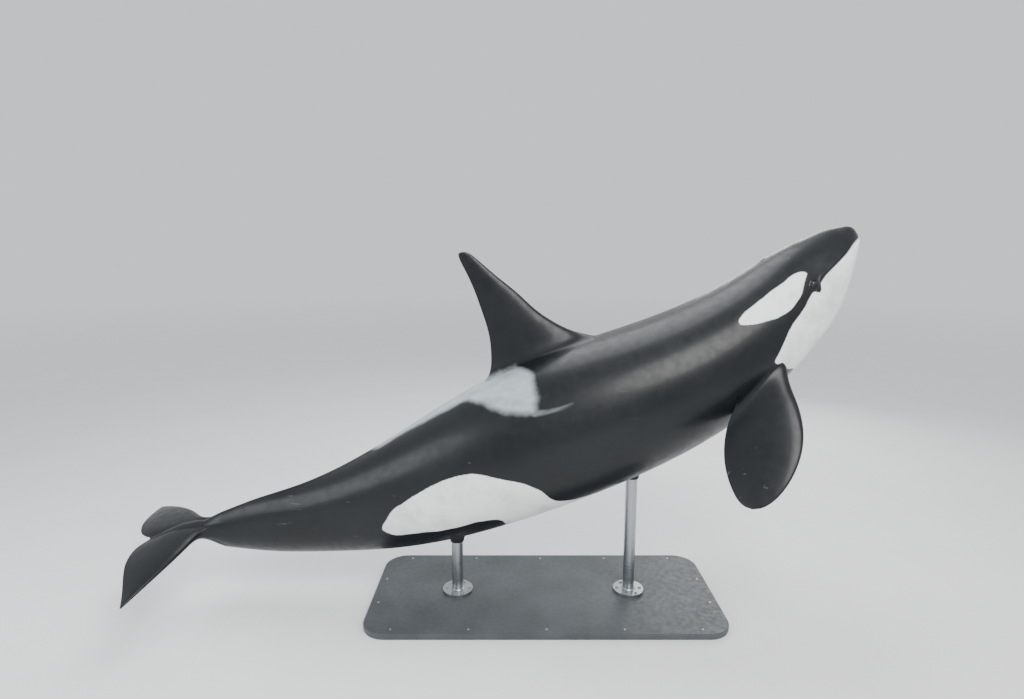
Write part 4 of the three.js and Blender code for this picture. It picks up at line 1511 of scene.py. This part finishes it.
class OrcaSizes(PropertyGroup):
    """Sizes of the stage."""

    floor_radius: FloatProperty(
        name="Floor radius", description="Radius of the round studio floor",
        default=60.0, min=5.0, unit="LENGTH")
    camera_height: FloatProperty(
        name="Camera height", description="Height of the camera over the floor",
        default=2.75, min=0.1, unit="LENGTH")
    camera_distance: FloatProperty(
        name="Camera distance", description="Distance of the camera from the animal's middle plane",
        default=4.5395, min=1.0, unit="LENGTH")
    camera_drop: FloatProperty(
        name="Camera drop", description="How far the camera looks down from level",
        default=math.atan(99.5 / 610), subtype="ANGLE", unit="ROTATION")


def colour_property(name, description, hex_colour):
    """A colour setting whose default is an sRGB hex value."""
    return FloatVectorProperty(name=name, description=description, default=linear(hex_colour),
                               size=3, min=0.0, max=1.0, subtype="COLOR")


class OrcaColours(PropertyGroup):
    """Colours of the animal, its stand and the floor."""

    black: colour_property("Black skin", "Main colour of the skin", "#090c0f")
    black_cloud: colour_property("Clouded black", "Paler clouds in the black skin", "#11161a")
    scrape: colour_property("Scrape", "Old scrapes in the black skin", "#59636a")
    saddle: colour_property("Saddle", "Grey patch behind the dorsal fin", "#8e999e")
    saddle_pale: colour_property("Pale saddle", "Palest streaks of the grey patch", "#b9c3c6")
    white: colour_property("White skin", "Eye patches, chin, belly and flanks", "#e9edec")
    white_stain: colour_property("Stained white", "Faint stain in the white skin", "#cdd3ce")
    iris: colour_property("Iris", "Dark brown of the iris", "#160e0a")
    iris_pale: colour_property("Pale iris", "Paler fibres of the iris", "#2b1c13")
    eye_rim: colour_property("Iris rim", "Dark ring round the iris", "#120c09")
    eye_white: colour_property("Eye corner", "Stained white in the eye's corners", "#1b1412")
    paint: colour_property("Base paint", "Satin charcoal paint of the base", "#3c4144")
    paint_worn: colour_property("Worn paint", "Paler worn places in the paint", "#474c50")
    floor: colour_property("Floor", "Studio floor", "#e9eaeb")
    backdrop: colour_property("Backdrop", "Soft light all round, and what shows behind the floor", "#eef1f3")


class ORCA_OT_skin(Operator):
    """Model the whole animal's skin as one piece, with its fins, lids, mouth and markings"""

    bl_idname = "orca.skin"
    bl_label = "Skin"

    def execute(self, context):
        model_skin(context.scene.orca_colours)
        return {"FINISHED"}


class ORCA_OT_eyes(Operator):
    """Model both eyeballs in their sockets"""

    bl_idname = "orca.eyes"
    bl_label = "Eyes"

    def execute(self, context):
        material = wet_eye(context.scene.orca_colours)
        for name, side in SIDES:
            model_eye(name, side, material)
        return {"FINISHED"}


class ORCA_OT_stand(Operator):
    """Finish the base and rods, and add bolts, welds, screws and rubber pads"""

    bl_idname = "orca.stand"
    bl_label = "Stand"

    def execute(self, context):
        steel = brushed_steel()
        zinc = zinc_plate()
        paint_node("stand_base", painted_plywood(context.scene.orca_colours))
        for node in ROD_NODES:
            paint_node(node, steel)
        centres = rod_centres()
        fittings = (foot_bolts(centres, zinc), weld_beads(centres, steel),
                    base_screws(zinc), rubber_pads(centres, moulded_rubber()))
        for piece in fittings:
            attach(piece, "root")
        return {"FINISHED"}


# The soft lights: where each stands, its width in metres, its power in watts and its colour.
LIGHTS = {
    "key": ((1.5, -5.5, 6.5), 5.0, 600, (1.0, 0.985, 0.96)),
    "fill": ((-6.5, -3.0, 3.2), 4.0, 170, (0.94, 0.97, 1.0)),
    "top": ((-0.5, 2.5, 7.0), 5.0, 260, (0.96, 0.98, 1.0)),
    "back": ((4.0, 6.0, 4.0), 4.0, 180, (1.0, 0.99, 0.97)),
}
LIT_POINT = (0, 0, 1.6)
CAMERA_ALONG = -0.25
CAMERA_LENS = 21.445
CAMERA_SENSOR = 36.0
CAMERA_CLIP_END = 200.0


def add_light(name, place, size, power, colour):
    """A round soft light that faces the middle of the animal."""
    data = bpy.data.lights.new(name, "AREA")
    data.shape = "DISK"
    data.size = size
    data.energy = power
    data.color = colour
    light = bpy.data.objects.new(name, data)
    bpy.context.scene.collection.objects.link(light)
    light.location = place
    light.rotation_euler = (Vector(LIT_POINT) - Vector(place)).to_track_quat("-Z", "Y").to_euler()


def add_backdrop(scene, colour):
    """Soft light from all round."""
    world = bpy.data.worlds.new("studio")
    world.use_nodes = True
    backdrop = world.node_tree.nodes["Background"]
    backdrop.inputs["Color"].default_value = rgba(colour)
    backdrop.inputs["Strength"].default_value = 1.0
    scene.world = world


def add_camera(scene, sizes):
    """The camera, which frames the animal as the photo does."""
    data = bpy.data.cameras.new("camera")
    data.sensor_width = CAMERA_SENSOR
    data.lens = CAMERA_LENS
    data.clip_end = CAMERA_CLIP_END
    camera = bpy.data.objects.new("camera", data)
    camera.location = (CAMERA_ALONG, -sizes.camera_distance, sizes.camera_height)
    camera.rotation_euler = (math.pi / 2 - sizes.camera_drop, 0, 0)
    scene.collection.objects.link(camera)
    scene.camera = camera


class ORCA_OT_stage(Operator):
    """Make the floor, the soft light and the camera"""

    bl_idname = "orca.stage"
    bl_label = "Stage"

    def execute(self, context):
        scene = context.scene
        sizes = scene.orca_sizes
        colours = scene.orca_colours
        bm = bmesh.new()
        bmesh.ops.create_circle(bm, cap_ends=True, segments=96, radius=sizes.floor_radius / MM)
        floor = finish_mesh(bm, "studio_floor", studio_floor(colours))
        add_backdrop(scene, colours.backdrop)
        for name, light in LIGHTS.items():
            add_light(name, *light)
        add_camera(scene, sizes)
        return {"FINISHED"}


class ORCA_PT_panel(Panel):
    """The orca's steps in the sidebar"""

    bl_idname = "ORCA_PT_panel"
    bl_label = "Orca display model"
    bl_space_type = "VIEW_3D"
    bl_region_type = "UI"
    bl_category = "Orca"

    def draw(self, context):
        layout = self.layout
        for operator in OPERATORS:
            layout.operator(operator.bl_idname)
        for group in (context.scene.orca_sizes, context.scene.orca_colours):
            box = layout.box()
            for name in group.bl_rna.properties.keys():
                if name not in {"rna_type", "name"}:
                    box.prop(group, name)


OPERATORS = (ORCA_OT_skin, ORCA_OT_eyes, ORCA_OT_stand, ORCA_OT_stage)
CLASSES = (OrcaSizes, OrcaColours, *OPERATORS, ORCA_PT_panel)


def register():
    for cls in CLASSES:
        bpy.utils.register_class(cls)
    bpy.types.Scene.orca_sizes = PointerProperty(type=OrcaSizes)
    bpy.types.Scene.orca_colours = PointerProperty(type=OrcaColours)


def unregister():
    del bpy.types.Scene.orca_colours
    del bpy.types.Scene.orca_sizes
    for cls in reversed(CLASSES):
        bpy.utils.unregister_class(cls)


def main():
    register()
    bpy.ops.orca.skin()
    bpy.ops.orca.eyes()
    bpy.ops.orca.stand()
    bpy.ops.orca.stage()


if __name__ == "__main__":
    main()
